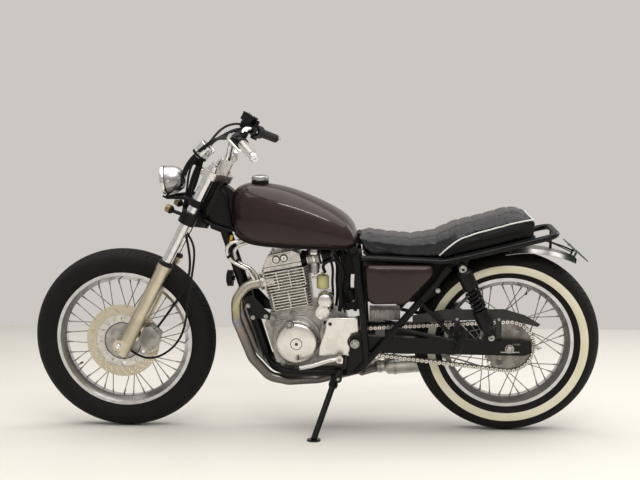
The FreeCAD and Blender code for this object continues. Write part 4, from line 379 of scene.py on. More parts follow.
class Shape:
    """Corners and faces gathered in metres until they become one piece."""

    def __init__(self):
        self.corners = []
        self.faces = []
        self.inks = []
        self.ink = 0

    def spot(self, place, at):
        self.corners.append(tuple(place @ Vector(at)))
        return len(self.corners) - 1

    def face(self, ring):
        ring = list(dict.fromkeys(ring))
        if len(ring) > 2:
            self.faces.append(ring)
            self.inks.append(self.ink)

    def skin(self, rows, loop=False):
        """Faces between closed rows of corners."""
        for low, high in zip(rows, rows[1:] + rows[:1] if loop else rows[1:]):
            count = max(len(low), len(high))
            for k in range(count):
                n = (k + 1) % count
                self.face([low[k % len(low)], low[n % len(low)], high[n % len(high)], high[k % len(high)]])
        return self

    def lathe(self, profile, place=UPRIGHT, count=32, loop=False):
        """A turned form about Z from (radius, height) corners."""
        rows = []
        for radius, height in profile:
            around = count if abs(radius) > 1e-6 else 1
            rows.append([self.spot(place, (*polar(radius, tau * k / count), height)) for k in range(around)])
        return self.skin(rows, loop)

    def band(self, inner, outer, low, high, place=UPRIGHT, count=32):
        """A plain ring."""
        return self.lathe([(inner, low), (outer, low), (outer, high), (inner, high)], place, count, True)

    def prism(self, outline, low, high, place=UPRIGHT):
        bottom = [self.spot(place, (x, y, low)) for x, y in outline]
        top = [self.spot(place, (x, y, high)) for x, y in outline]
        self.skin([bottom, top])
        self.face(bottom[::-1])
        self.face(top)
        return self

    def side_plate(self, outline, left, right, place=UPRIGHT):
        """A plate seen from the side: (x, z) corners, between two places across."""
        flat = place @ turn(90, "X")
        return self.prism(outline, -left, -right, flat)

    def box(self, low, high, place=UPRIGHT):
        (x0, y0, z0), (x1, y1, z1) = low, high
        return self.prism([(x0, y0), (x1, y0), (x1, y1), (x0, y1)], z0, z1, place)

    def rod(self, start, end, radius, place=UPRIGHT, count=20, tip=None):
        """A straight bar, drawn out to another radius at its end where tip gives one."""
        start, end = Vector(start), Vector(end)
        tip = radius if tip is None else tip
        return self.lathe([(0, 0), (radius, 0), (tip, (end - start).length), (0, (end - start).length)],
            place @ aim(start, end - start), count)

    def pipe(self, points, radius, place=UPRIGHT, sides=10, closed=False):
        """A tube along a line; radius may be one for each point."""
        spots = [Vector(p) for p in points]
        count = len(spots)
        radii = radius if isinstance(radius, (list, tuple)) else [radius] * count
        across = None
        rows = []
        for k, spot in enumerate(spots):
            ahead = spots[(k + 1) % count] if closed or k + 1 < count else spot
            behind = spots[k - 1] if closed or k else spot
            along = (ahead - behind).normalized()
            if across is None:
                across = along.orthogonal().normalized()
            across = (across - along * across.dot(along)).normalized()
            other = along.cross(across)
            rows.append([self.spot(place, spot + (across * x + other * y) * radii[k])
                for x, y in ring_of(1, sides)])
        self.skin(rows, closed)
        if not closed:
            self.face(rows[0][::-1])
            self.face(rows[-1])
        return self

    def bolt(self, at, toward, size, place=UPRIGHT, sides=6, collar=True):
        """A bolt head or nut: six flats with a chamfer, on a washer; a round socket head has many sides."""
        base = place @ aim(at, toward)
        if collar:
            self.lathe([(0, 0), (size * 1.25, 0), (size * 1.25, size * 0.2), (0, size * 0.2)], base, 20)
        self.lathe([(size, size * 0.2), (size, size * 0.85), (size * 0.88, size), (size * 0.45, size),
            (size * 0.4, size * 0.6), (0, size * 0.6)], base, sides)
        return self

    def cut_sheet(self, outline, holes, thickness, place):
        """A flat sheet with holes through it, from z 0 up."""
        curve = bpy.data.curves.new("cut", "CURVE")
        curve.dimensions = "2D"
        curve.fill_mode = "BOTH"
        curve.extrude = thickness / 2
        for loop in [outline] + holes:
            spline = curve.splines.new("POLY")
            spline.points.add(len(loop) - 1)
            for point, (x, y) in zip(spline.points, loop):
                point.co = (x, y, 0, 1)
            spline.use_cyclic_u = True
        holder = bpy.data.objects.new("cut", curve)
        self.take(bpy.data.meshes.new_from_object(holder), place @ shift(0, 0, thickness / 2))
        bpy.data.objects.remove(holder)
        return self

    def words(self, text, size, place):
        """Plain numerals, standing a little proud."""
        curve = bpy.data.curves.new("numeral", "FONT")
        curve.body = text
        curve.size = size
        curve.align_x = "CENTER"
        curve.align_y = "CENTER"
        curve.extrude = 0.15
        curve.resolution_u = 2
        holder = bpy.data.objects.new("numeral", curve)
        self.take(bpy.data.meshes.new_from_object(holder), place)
        bpy.data.objects.remove(holder)
        return self

    def take(self, mesh, place):
        base = len(self.corners)
        self.corners += [tuple(place @ v.co) for v in mesh.vertices]
        for polygon in mesh.polygons:
            self.face([base + k for k in polygon.vertices])
        bpy.data.meshes.remove(mesh)


def linked(name, data):
    made = bpy.data.objects.new(name, data)
    bpy.context.scene.collection.objects.link(made)
    return made


def enlist(made, body, stands_for):
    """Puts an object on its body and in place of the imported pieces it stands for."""
    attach(made, body)
    if stands_for:
        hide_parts(*stands_for)
    return made


def round_edges(made, width, segments, limit):
    edge = made.modifiers.new("edges", "BEVEL")
    edge.width = width / 1000
    edge.segments = segments
    edge.limit_method = "ANGLE"
    edge.angle_limit = radians(limit)
    edge.harden_normals = True


WELD = 0.00002
PIECE_BEVEL = {"segments": 2, "limit": 30}
NODE_BEVEL = {"segments": 3, "limit": 35}


def piece(name, shape, finishes, bevel=0.0, body="machine", slot=None, sharp=32, stands_for=()):
    """One Blender object that rides on a body; the slot argument is not used."""
    mesh = bpy.data.meshes.new(name)
    mesh.from_pydata(shape.corners, [], shape.faces)
    finishes = finishes if isinstance(finishes, (list, tuple)) else [finishes]
    for finish in finishes:
        mesh.materials.append(finish)
    mesh.polygons.foreach_set("material_index", shape.inks)
    made = bmesh.new()
    made.from_mesh(mesh)
    bmesh.ops.remove_doubles(made, verts=made.verts, dist=WELD)
    bmesh.ops.recalc_face_normals(made, faces=made.faces)
    made.to_mesh(mesh)
    made.free()
    mesh.shade_smooth()
    mesh.set_sharp_from_angle(angle=radians(sharp))
    made = linked(name, mesh)
    if bevel:
        round_edges(made, bevel, **PIECE_BEVEL)
    return enlist(made, body, stands_for)


def turned(name, profile, place, finish, count=32, loop=False, **rest):
    """A piece that is one turned form."""
    piece(name, Shape().lathe(profile, place, count, loop), finish, **rest)


def plate(name, outline, left, right, finish, bevel=0.0, place=UPRIGHT, **rest):
    """A piece that is one plate seen from the side."""
    piece(name, Shape().side_plate(outline, left, right, place), finish, bevel, **rest)


def hose(name, points, radius, place=UPRIGHT, body="machine", stands_for=()):
    """A held cable or hose on one soft line."""
    curve = bpy.data.curves.new(name, "CURVE")
    curve.dimensions = "3D"
    curve.bevel_depth = radius / 1000
    curve.bevel_resolution = 3
    curve.use_fill_caps = True
    spline = curve.splines.new("NURBS")
    spline.points.add(len(points) - 1)
    for point, spot in zip(spline.points, points):
        point.co = (*(place @ Vector(spot)), 1)
    spline.order_u = 4
    spline.use_endpoint_u = True
    spline.resolution_u = 6
    curve.materials.append(HOSE_RUBBER)
    enlist(linked(name, curve), body, stands_for)


# Wheels

TYRE_STEPS = 760


def tyre(name, node, place, body, half, tread, white):
    """A tyre from its half section, with grooves cut into the crown; white gives the pale band's radii."""
    section = smooth([(r, y, 0) for r, y in half], 4)
    crown = [p for p in section if p.y < 44 and p.x > half[-1][0] - 22]
    sides = [p for p in section if p not in crown]
    edge = crown[0].y
    fine = []
    for k in range(int(edge / 1.9) + 1):
        y = edge * (1 - k / int(edge / 1.9))
        radius = np.interp(y, [p.y for p in reversed(crown)], [p.x for p in reversed(crown)])
        fine.append((radius, y))
    outer = [(p.x, p.y) for p in sides] + fine
    inner = [(half[0][0] + 2, half[0][1] - 5), (half[3][0], half[3][1] - 9), (half[-1][0] - 12, 0)]
    profile = np.array(outer + [(r, -y) for r, y in reversed(outer[:-1])])
    back = [(r, -y) for r, y in inner[:-1]] + [inner[-1]] + [(r, y) for r, y in reversed(inner[:-1])]
    angles = np.arange(TYRE_STEPS) * tau / TYRE_STEPS
    radii = np.repeat(profile[:, :1], TYRE_STEPS, axis=1)
    across = np.repeat(profile[:, 1:], TYRE_STEPS, axis=1)
    crowned = (radii > half[-1][0] - 24) & (np.abs(across) < edge + 1)
    radii = radii - tread(angles[None, :], across) * crowned
    shape = Shape()
    rings = (zip(r * np.cos(angles), y, r * np.sin(angles)) for r, y in zip(radii, across))
    grid = [[shape.spot(place, p) for p in ring] for ring in rings]
    bands = (profile[:-1, 0] + profile[1:, 0]) / 2
    for band, low, high in zip(bands, grid, grid[1:]):
        shape.ink = 1 if white and white[0] < band < white[1] else 0
        shape.skin([low, high])
    shape.ink = 0
    lining = [[shape.spot(place, (r * cos(a), y, r * sin(a))) for a in angles] for r, y in back]
    shape.skin([grid[-1]] + lining + [grid[0]])
    piece(name, shape, [TYRE_RUBBER, WHITEWALL], body=body, sharp=50, stands_for=[node])


def groove(distance, width):
    """1 in the middle of a groove and 0 outside it."""
    return np.clip(1.6 * (1 - np.abs(distance) / (width / 2)), 0, 1)


def front_tread(angle, across):
    """Three wavy grooves round the crown and slanted sipes on the shoulders."""
    radius, sipes = FRONT_AXLE[1], 88
    zigzag = 1.6 * np.sin(angle * 60)
    reach = np.abs(across)
    depth = np.maximum(groove(across - zigzag, 3.4), groove(reach - 15 - zigzag, 3.6))
    slant = np.mod(angle * radius + reach * 0.7, radius * tau / sipes) - 6
    shoulder = groove(slant, 4.2) * (reach > 20) * (reach < 39)
    return 4.0 * np.maximum(depth, shoulder)


def rear_tread(angle, across):
    """Two round grooves with slanted cross grooves that stop short of the middle."""
    radius, sipes = REAR_AXLE[1], 72
    reach = np.abs(across)
    depth = groove(reach - 12 - 1.5 * np.sin(angle * 48), 4.2)
    slant = np.mod(angle * radius + reach * 0.9, radius * tau / sipes) - 7
    blocks = groove(slant, 5.0) * (reach > 16) * (reach < 41)
    return 5.0 * np.maximum(depth, blocks)


tyre("tyre_front", "front_tyre", FRONT, "front_wheel", [(241.8, 26), (253.5, 31), (268, 42), (291.5, 50), (309, 47),
    (321.5, 39), (332.5, 24), (338, 8), (338.1, 0)], front_tread, None)
tyre("tyre_rear", "rear_tyre", REAR, "rear_wheel", [(229.2, 31), (241, 36), (256, 48), (262, 52), (262.4, 53.4),
    (276, 58), (290.4, 58.4), (291, 57), (304, 54), (317.5, 45), (330, 28), (336, 9), (336.1, 0)], rear_tread,
    (262.2, 290.8))


def wheel_trim(tag, place, body, well_r, hub_r, inner_y, outer_y, sweep, valve_angle):
    """Spoke nipples at the rim and the valve."""
    nipples = Shape()
    for index in range(36):
        side = 1 if index % 2 == 0 else -1
        pull = 1 if index // 2 % 2 == 0 else -1
        at_rim = radians(10 * (index + 0.5))
        hub_x, hub_z = polar(hub_r, at_rim + pull * radians(sweep))
        rim_x, rim_z = polar(well_r, at_rim)
        start = Vector((hub_x, side * (outer_y if pull > 0 else inner_y), hub_z))
        end = Vector((rim_x, side * 7, rim_z))
        along = (end - start).normalized()
        nipples.rod(end - along * 17, end + along * 1, 2.6, place, 8, 3.6)
        nipples.rod(start - along * 4, start + along * 5, 3.4, place, 8, 1.9)
    piece(f"spoke_nipples_{tag}", nipples, SPOKE_STEEL, body=body)
    spot = Vector((cos(valve_angle), 0, sin(valve_angle)))
    valve = Shape()
    valve.rod(spot * (well_r + 1), spot * (well_r - 16), 4.4, place, 12, 3.4)
    valve.ink = 1
    valve.rod(spot * (well_r - 16), spot * (well_r - 27), 3.6, place, 12)
    piece(f"valve_{tag}", valve, [STEEL, HOSE_RUBBER], 0.4, body=body, slot="rubber")


wheel_trim("front", FRONT, "front_wheel", 224, 48, 28, 34, 52, radians(-30))
wheel_trim("rear", REAR, "rear_wheel", 211, 94, 30, 34, 30, radians(112))


def front_disc():
    """Drilled disc on a pierced carrier, with the round hub cover in front of it."""
    place = FRONT @ ALONG_AXLE
    rotor = Shape()
    holes = []
    for row, (radius, size) in enumerate(((106, 2.6), (114, 3.0), (122, 3.0), (130, 2.6))):
        holes += [ring_of(size, 10, polar(radius, tau * (k + row * 0.27) / 30)) for k in range(30)]
    rotor.cut_sheet(ring_of(136, 144), [ring_of(100, 108)] + holes, 5, place @ shift(0, 0, 46))
    carrier = Shape()
    windows = [ring_of(6.5 if k % 2 else 4.5, 14, polar(84, tau * k / 12)) for k in range(12)]
    carrier.cut_sheet(ring_of(99, 96), [ring_of(20, 32)] + windows, 3.4, place @ shift(0, 0, 46.8))
    for k in range(10):
        carrier.lathe([(0, 0), (6, 0), (6, 6), (4.6, 6.6), (2.4, 6.6), (2, 5), (0, 5)],
            place @ shift(*polar(99.5, tau * (k + 0.35) / 10), 45.5), 16)
    for k in range(6):
        carrier.bolt((*polar(74, tau * (k + 0.5) / 6), 50), (0, 0, 1), 4.4, place)
    cover = Shape()
    cover.lathe([(64, 0), (66.5, 0.5), (67, 2.2), (65, 3.4), (62, 2.8), (60, 2.8)], place @ shift(0, 0, 50), 64)
    pips = [ring_of(1.9, 8, polar(r, tau * (k + late) / 20)) for r, late in ((38, 0), (45, 0.5)) for k in range(20)]
    cover.cut_sheet(ring_of(60.5, 64), [ring_of(19, 32)] + pips, 2, place @ shift(0, 0, 50.8))
    cover.lathe([(30, 0), (30, 0.8), (28, 1.2), (19.5, 1.2)], place @ shift(0, 0, 52.8), 40)
    seal = Shape()
    seal.band(67.2, 70, 0, 1.6, place @ shift(0, 0, 50.2), 64)
    piece("disc_rotor", rotor, DISC, 0.4, body="front_wheel", stands_for=["front_brake_disc"])
    piece("disc_carrier", carrier, BARREL_ALLOY, 0.4, body="front_wheel")
    piece("hub_cover", cover, CAST, 0.3, body="front_wheel")
    piece("hub_cover_seal", seal, HOSE_RUBBER, body="front_wheel")


# Front end


def fork_trim():
    """Dust caps, clamp bolts and drain screws of the two legs, and the caliper's body."""
    seals = Shape()
    bolts = Shape()
    for side in (1, -1):
        y = LEG_Y * side
        seals.lathe([(19.2, 6), (20.5, 6), (23, 4), (24.5, 0), (27.6, -1), (28.4, -4), (28.4, -9), (27.5, -10)],
            FORK @ shift(LEG_X, y, 354), 32)
        bolts.band(19.1, 20.6, 0, 2, FORK @ shift(LEG_X, y, 361))
        bolts.bolt((LEG_X, y, 745), (0, 0, 1), 10, FORK)
        bolts.bolt((57, y + side * 27, 0), (0, side, 0), 9, FORK)
        bolts.bolt((28, y + side * 16, -29), (0, 0, -1), 5, FORK, 16, False)
        for height in (712, 538):
            bolts.bolt((LEG_X + 29, y - side * 18, height), (1, 0, 0), 5.5, FORK, 16)
    for high in (44, 86):
        bolts.bolt((10, LEG_Y - 12, high), (0, 1, 0), 6, FORK)
    caliper = Shape()
    caliper.side_plate(round_corners([(-74, 42), (-112, 48), (-124, 6), (-112, -26), (-80, -20)],
        (8, 10, 12, 12, 8)), 79, 68, FRONT)
    for x, z in ((-126, 34), (-134, 2)):
        caliper.rod((x, 52, z), (x, 76, z), 10, FRONT, 24)
        caliper.bolt((x, 76, z), (0, 1, 0), 6, FRONT)
    piece("caliper_body", caliper, BARREL_ALLOY, 2.0, body="steering")
    piece("fork_dust_caps", seals, HOSE_RUBBER, body="steering")
    piece("fork_bolts", bolts, CHROME, 0.3, body="steering")


def headlamp():
    """Chrome bullet shell with its rim, bowl and fluted glass, on two bent arms."""
    turned("headlamp_shell", [(53.5, -9), (53.2, -16), (52, -28), (49.5, -40), (45, -52), (38, -63), (28, -71),
        (16, -76), (0, -77.5)], LAMP, LAMP_CHROME, 64, body="steering", stands_for=["headlamp"])
    turned("headlamp_rim", [(50.5, 6), (52, 7.6), (54.5, 7.4), (57, 5), (58, 1), (57.6, -4), (56.2, -7.5),
        (54, -8.5), (52, -8), (51, -2)], LAMP, CHROME, 64, True, body="steering", sharp=60)
    turned("headlamp_seal", [(54.2, -8.2), (55, -9.4), (54.2, -10.6), (53, -10.4)], LAMP, HOSE_RUBBER, 64, True,
        body="steering", sharp=60)
    glass = Shape()
    rows = []
    for radius, height, flute in ((51.4, 4, 0), (50, 6.2, 0), (46, 8.2, 0.7), (38, 10, 0.7), (28, 11.4, 0.7),
            (16, 12.2, 0.7), (0.01, 12.6, 0), (0.01, 9.6, 0), (28, 8.6, 0), (46, 5.4, 0), (51.4, 2.5, 0)):
        rows.append([glass.spot(LAMP, (x, y, height - (flute if k % 4 < 2 else 0)))
            for k, (x, y) in enumerate(ring_of(radius, 96))])
    glass.skin(rows, True)
    piece("headlamp_glass", glass, GLASS, body="steering", sharp=20, stands_for=["headlamp_lens"])
    bowl = Shape()
    bowl.lathe([(50.5, 3), (49, -4), (44, -18), (35, -31), (22, -41), (12, -45), (12, -50), (0, -50)], LAMP, 48)
    bowl.lathe([(0, -8), (7, -9), (10, -13), (10, -26), (8, -28), (0, -28)], LAMP, 24)
    piece("headlamp_bowl", bowl, CHROME, body="steering")
    trim = Shape()
    for side in (1, -1):
        trim.bolt((-50 * side, 0, -22), (-side, 0, 0), 6.5, LAMP)
    piece("headlamp_screws", trim, CHROME, 0.3, body="steering")
    arms = Shape()
    for side in (1, -1):
        arms.pipe(smooth([(48, side * 84, 598), (78, side * 70, 592), (112, side * 44, 574), (150, side * 14, 550)],
            5), 7, FORK, 12)
        arms.band(19.2, 23.6, -13, 13, FORK @ shift(LEG_X, side * LEG_Y, 598))
    arms.box((144, -13, 544), (166, 13, 550), FORK)
    piece("headlamp_arms", arms, SATIN_BLACK, 1.0, body="steering", slot="frame_black",
        stands_for=["headlamp_bracket"])


DIAL_TILT = radians(17)
DIAL_FOOT = Vector((112, 20, 737))
DIAL_UP = Vector((-sin(DIAL_TILT), 0, cos(DIAL_TILT)))


def speedometer():
    """Round instrument with a chromed can, a glass and a plain numbered dial."""
    base = FORK @ aim(DIAL_FOOT, DIAL_UP)
    face = base @ turn(-90, "Z")
    can = Shape()
    can.lathe([(0, 0), (20, 0), (26, 2), (28.6, 6), (29.2, 12), (29.2, 42), (30.6, 44), (31.2, 47)], base, 48)
    can.lathe([(31.2, 47), (32.2, 48), (32.4, 54), (31, 56.4), (28.4, 56.2), (27.8, 53)], base, 48)
    can.lathe([(29.3, 16), (30.2, 17), (29.3, 18)], base, 48)
    piece("speedometer_can", can, CHROME, body="steering", stands_for=["speedometer"])
    turned("speedometer_glass", [(0, 55), (28, 54.2), (28, 53), (0, 53.6)], base, GLASS, 40, body="steering")
    turned("speedometer_dial", [(0, 49), (27.9, 49), (27.9, 52), (27.2, 52), (27.2, 49.6), (0, 49.6)], base,
        DIAL_BLACK, 40, body="steering")
    marks = Shape()
    for k in range(17):
        spin = turn(225 - 270 * k / 16, "Z")
        marks.box((22.5 if k % 2 else 20.5, -0.45, 49.7), (25.5, 0.45, 50.0), face @ spin)
        if k % 2 == 0:
            marks.words(str(k * 10), 4.2, face @ Matrix.Translation(spin @ Vector((16.6, 0, 49.9))))
    marks.box((-1.0, -0.7, 50.4), (19, 0.7, 50.8), face @ turn(-138, "Z"))
    marks.lathe([(0, 49.8), (3, 49.8), (3, 51.5), (0, 51.5)], base, 16)
    piece("speedometer_marks", marks, DIAL_WHITE, body="steering")
    mount = Shape()
    mount.box((46, 10, 706), (118, 28, 710), FORK)
    mount.rod(DIAL_FOOT - Vector((0, 0, 31)), DIAL_FOOT + Vector((0, 0, 2)), 7, FORK)
    mount.lathe([(27.8, 0), (30.6, 1), (30.6, 9), (29.5, 10)], base @ shift(0, 0, 3), 40)
    piece("speedometer_mount", mount, SATIN_BLACK, 0.6, body="steering", slot="frame_black")

BAR_KNEE = Vector((22, 165, 890))
BAR_END = Vector((-86, 372, 880))
OUTWARD = (BAR_END - BAR_KNEE).normalized()
AHEAD = OUTWARD.cross(Vector((0, 0, 1))).normalized()
UPWARD = -OUTWARD.cross(AHEAD).normalized()
GRIP, SWITCH, BRACKET, GAP = 122, 26, 44, 2
LEFT_LEVER = GRIP + GAP + SWITCH
RIGHT_LEVER = GRIP + BRACKET + SWITCH + 2 * GAP


def bar_spot(distance):
    return BAR_END - OUTWARD * distance


def controls():
    """Ribbed grips with end caps, lever blades, switch housings, the brake reservoir's cap and the screws."""
    grips, ends, collars, levers, trim, switches = (Shape() for _ in range(6))
    for place, reach, distance in ((FORK, 0, LEFT_LEVER), (FORK @ MIRROR, 40, RIGHT_LEVER)):
        along = place @ aim(bar_spot(GRIP), OUTWARD)
        profile = [(11.3, 0), (20, 0), (21, 2.5), (19.5, 5), (16.2, 6.5)]
        for k in range(17):
            low = 9 + k * 6.3
            profile += [(16.7, low), (16.7, low + 4.2), (15.6, low + 4.9), (15.6, low + 5.7)]
        profile += [(16.6, 117), (16.6, 121), (11.4, 121.6)]
        grips.ink = 1 if reach == 0 else 0
        grips.lathe(profile, along, 32)
        collars.lathe([(16.6, 0), (20.6, 0), (21.6, 2.5), (20, 5), (16.6, 6.4)], along, 32, loop=True)
        ends.lathe([(11, 122), (15, 122.4), (15.6, 125), (14.6, 139), (12.4, 143.6), (5, 144), (4.2, 141),
            (0, 141)], along, 32)
        middle = bar_spot(distance) + OUTWARD * 13
        line = smooth([middle + AHEAD * ahead + OUTWARD * out
            for ahead, out in ((44, 0), (55, 18), (62, 50 + reach), (59, 105 + reach), (56, 150 + reach))], 8)
        widths = [6.4 - 2.2 * k / len(line) for k in range(len(line))]
        levers.pipe(line, widths, place, 12)
        levers.lathe([(0, -6.4), (4, -5.2), (6.2, -2), (6.2, 2), (4, 5.2), (0, 6.4)],
            place @ aim(line[-1], OUTWARD), 16)
        pivot = middle + AHEAD * 46
        levers.rod(pivot - UPWARD * 9, pivot + UPWARD * 9, 7.5, place)
        trim.bolt(pivot + UPWARD * 9, UPWARD, 5, place)
        trim.bolt(middle - AHEAD * 17 + OUTWARD * 6, -AHEAD, 4, place, 12, False)
    left = FORK @ aim(bar_spot(LEFT_LEVER + 34), OUTWARD)
    switches.lathe([(11.4, 0), (21, 0), (22.5, 3), (22.5, 28), (20, 31), (11.4, 31)], left, 28)
    switches.box((-9, 14, 6), (9, 27, 24), left)
    right = FORK @ MIRROR @ aim(bar_spot(GRIP + BRACKET + GAP), OUTWARD)
    switches.lathe([(22, -1), (24.5, 2), (24.5, 20), (23.4, 21), (23.4, 23), (24.5, 24), (24.5, 42), (22, 45)],
        right, 32)
    switches.box((-8, -33, 8), (8, -20, 34), right)
    lid = FORK @ MIRROR @ aim(bar_spot(RIGHT_LEVER) + OUTWARD * 3 + AHEAD * 30 + UPWARD * 42, UPWARD)
    switches.box((-24, -19, -26), (24, 19, 0), lid)
    switches.box((-25.5, -20.5, 0.2), (25.5, 20.5, 5), lid)
    for x, y in ((-20, -15), (20, 15), (-20, 15), (20, -15)):
        trim.bolt((x, y, 5), (0, 0, 1), 2.6, lid, 12, False)
    piece("grip_sleeves", grips, [GRIP_RUBBER, POLISHED], body="steering", stands_for=["grips"])
    piece("grip_collars", collars, HOSE_RUBBER, body="steering")
    piece("bar_end_caps", ends, CHROME, body="steering")
    piece("lever_blades", levers, POLISHED, body="steering", stands_for=["hand_levers"])
    piece("control_screws", trim, CHROME, 0.2, body="steering")
    piece("switch_housings", switches, MOULDED, 1.2, body="steering")


def front_hoses():
    """Brake hose and speedometer cable, held on the fork."""
    barrel_end = MIRROR @ (bar_spot(RIGHT_LEVER) + AHEAD * 26 - OUTWARD * 23.3)
    inward = -(MIRROR @ OUTWARD)
    hose("brake_hose", [barrel_end, barrel_end + inward * 30, (88, -116, 872), (104, -82, 818), (112, -56, 755),
        (108, -36, 680), (86, -16, 596), (56, 20, 498), (20, 45, 460), (-22, 68, 414), (-52, 82, 362),
        (-63, 88, 300), (-54, 92, 220), (-42, 82, 146), (-36, 74, 116)], 4.6, FORK, "steering", ["front_cables"])
    hose("speedometer_cable", [DIAL_FOOT - DIAL_UP * 0.3, DIAL_FOOT - DIAL_UP * 30.3, (118, 30, 672), (88, 40, 604),
        (72, 48, 534), (46, 60, 492), (8, 75, 474), (-28, 90, 452), (-54, 104, 396), (-84, 118, 300),
        (-118, 124, 214), (-134, 121, 140), (-120, 114, 76), (-92, 104, 26), (-54, 88, -8), (-18, 68, -18),
        (19.7, 62, -16)], 4.2, FORK, "steering")


# Bodywork


def tank():
    """Tank drawn through its cross sections, rounded at both ends, with the tunnel underneath."""
    knots = [(292, 770, 885, 46), (262, 736, 909, 78), (205, 716, 921, 108), (90, 706, 903, 124),
        (-40, 702, 851, 126), (-125, 700, 798, 116), (-164, 706, 742, 96)]
    lows, highs, halves = (smooth([(knot[0], knot[k], 0) for knot in knots], 8) for k in (1, 2, 3))
    rows = [(low.x, low.y, high.y, half.y, 1.0) for low, high, half in zip(lows, highs, halves)]
    first, last = rows[0], rows[-1]
    ends = [(0, 0.62), (0.15, 0.84), (0.4, 0.95)]
    front = [(first[0] - 12 * t, *first[1:4], share) for t, share in ends]
    rear = [(last[0] + 14 * t, *last[1:4], share) for t, share in reversed(ends)]
    barrel = [row for row in rows if last[0] + 14 < row[0] < first[0] - 12]
    shape = Shape()
    rings = []
    for x, foot, crest, wide, share in front + barrel + rear:
        rise = crest - foot
        roof = min(foot + 46, 690 + (x + 180) * 0.17)
        upper = smooth([(wide * 0.80, foot, 0), (wide * 0.93, foot + rise * 0.05, 0), (wide, foot + rise * 0.18, 0),
            (wide * 0.98, foot + rise * 0.5, 0), (wide * 0.83, foot + rise * 0.79, 0),
            (wide * 0.46, foot + rise * 0.96, 0), (0, crest, 0)], 4)
        half = [(p.x, p.y) for p in upper]
        ring = half + [(-y, z) for y, z in reversed(half[:-1])]
        tunnel = [(-26, roof), (26, roof)] if share == 1.0 else [(-25, foot), (25, foot)]
        ring += [(-26, foot), *tunnel, (26, foot)]
        middle = foot + rise * 0.45
        rings.append([shape.spot(UPRIGHT, (x, y * share, middle + (z - middle) * share)) for y, z in ring])
    shape.skin(rings)
    shape.face(rings[0])
    shape.face(rings[-1])
    piece("tank_shell", shape, BROWN, sharp=46, stands_for=["fuel_tank"])
    seam = Shape()
    for side in (1, -1):
        seam.pipe([(x, side * wide * 0.83, foot + 1) for x, foot, _, wide, _ in barrel], 2.4, sides=8)
    piece("tank_seam", seam, BROWN)
    cap = Shape()
    filler = UPRIGHT @ shift(190, 0, 927)
    cap.lathe([(0, 0), (25, 0), (29.5, 2), (31, 5), (31, 13), (29.8, 16), (26, 18.5), (18, 20.5), (0, 21.4)],
        filler, 40)
    for k in range(20):
        cap.box((30.4, -1.6, 5), (31.8, 1.6, 13), filler @ turn(18 * k, "Z"))
    piece("fuel_cap_cover", cap, LAMP_CHROME, 0.4, stands_for=["fuel_cap"])
    turned("fuel_cap_neck", [(0, -8), (30, -8), (31.5, -4), (31.5, 6), (29, 8), (0, 8)], filler @ shift(0, 0, -6),
        SATIN_BLACK, 40)
    strips = Shape()
    for side in (1, -1):
        strips.pipe([(x, side * wide * 0.8, foot - 5) for x, foot, _, wide, _ in barrel], 6.5)
    piece("tank_edge_strips", strips, SATIN_BLACK, 1.0, slot="frame_black")

PIPING_LINE = [(-452, 664), (-484, 703), (-523, 735), (-561, 752), (-610, 767), (-650, 778), (-700, 790),
    (-745, 800), (-780, 808)]
SEAT_TOP = [(-170, 752), (-266, 736), (-354, 728), (-436, 740), (-514, 775), (-605, 797), (-718, 815), (-782, 812)]


SEAT_SHRINK = 0.975
SEAT_VOXEL = 0.0065
CLOTH_FRAMES = 20
PUFF_LIMIT = 0.008


def clamp(value):
    return min(1.0, max(0.0, value))


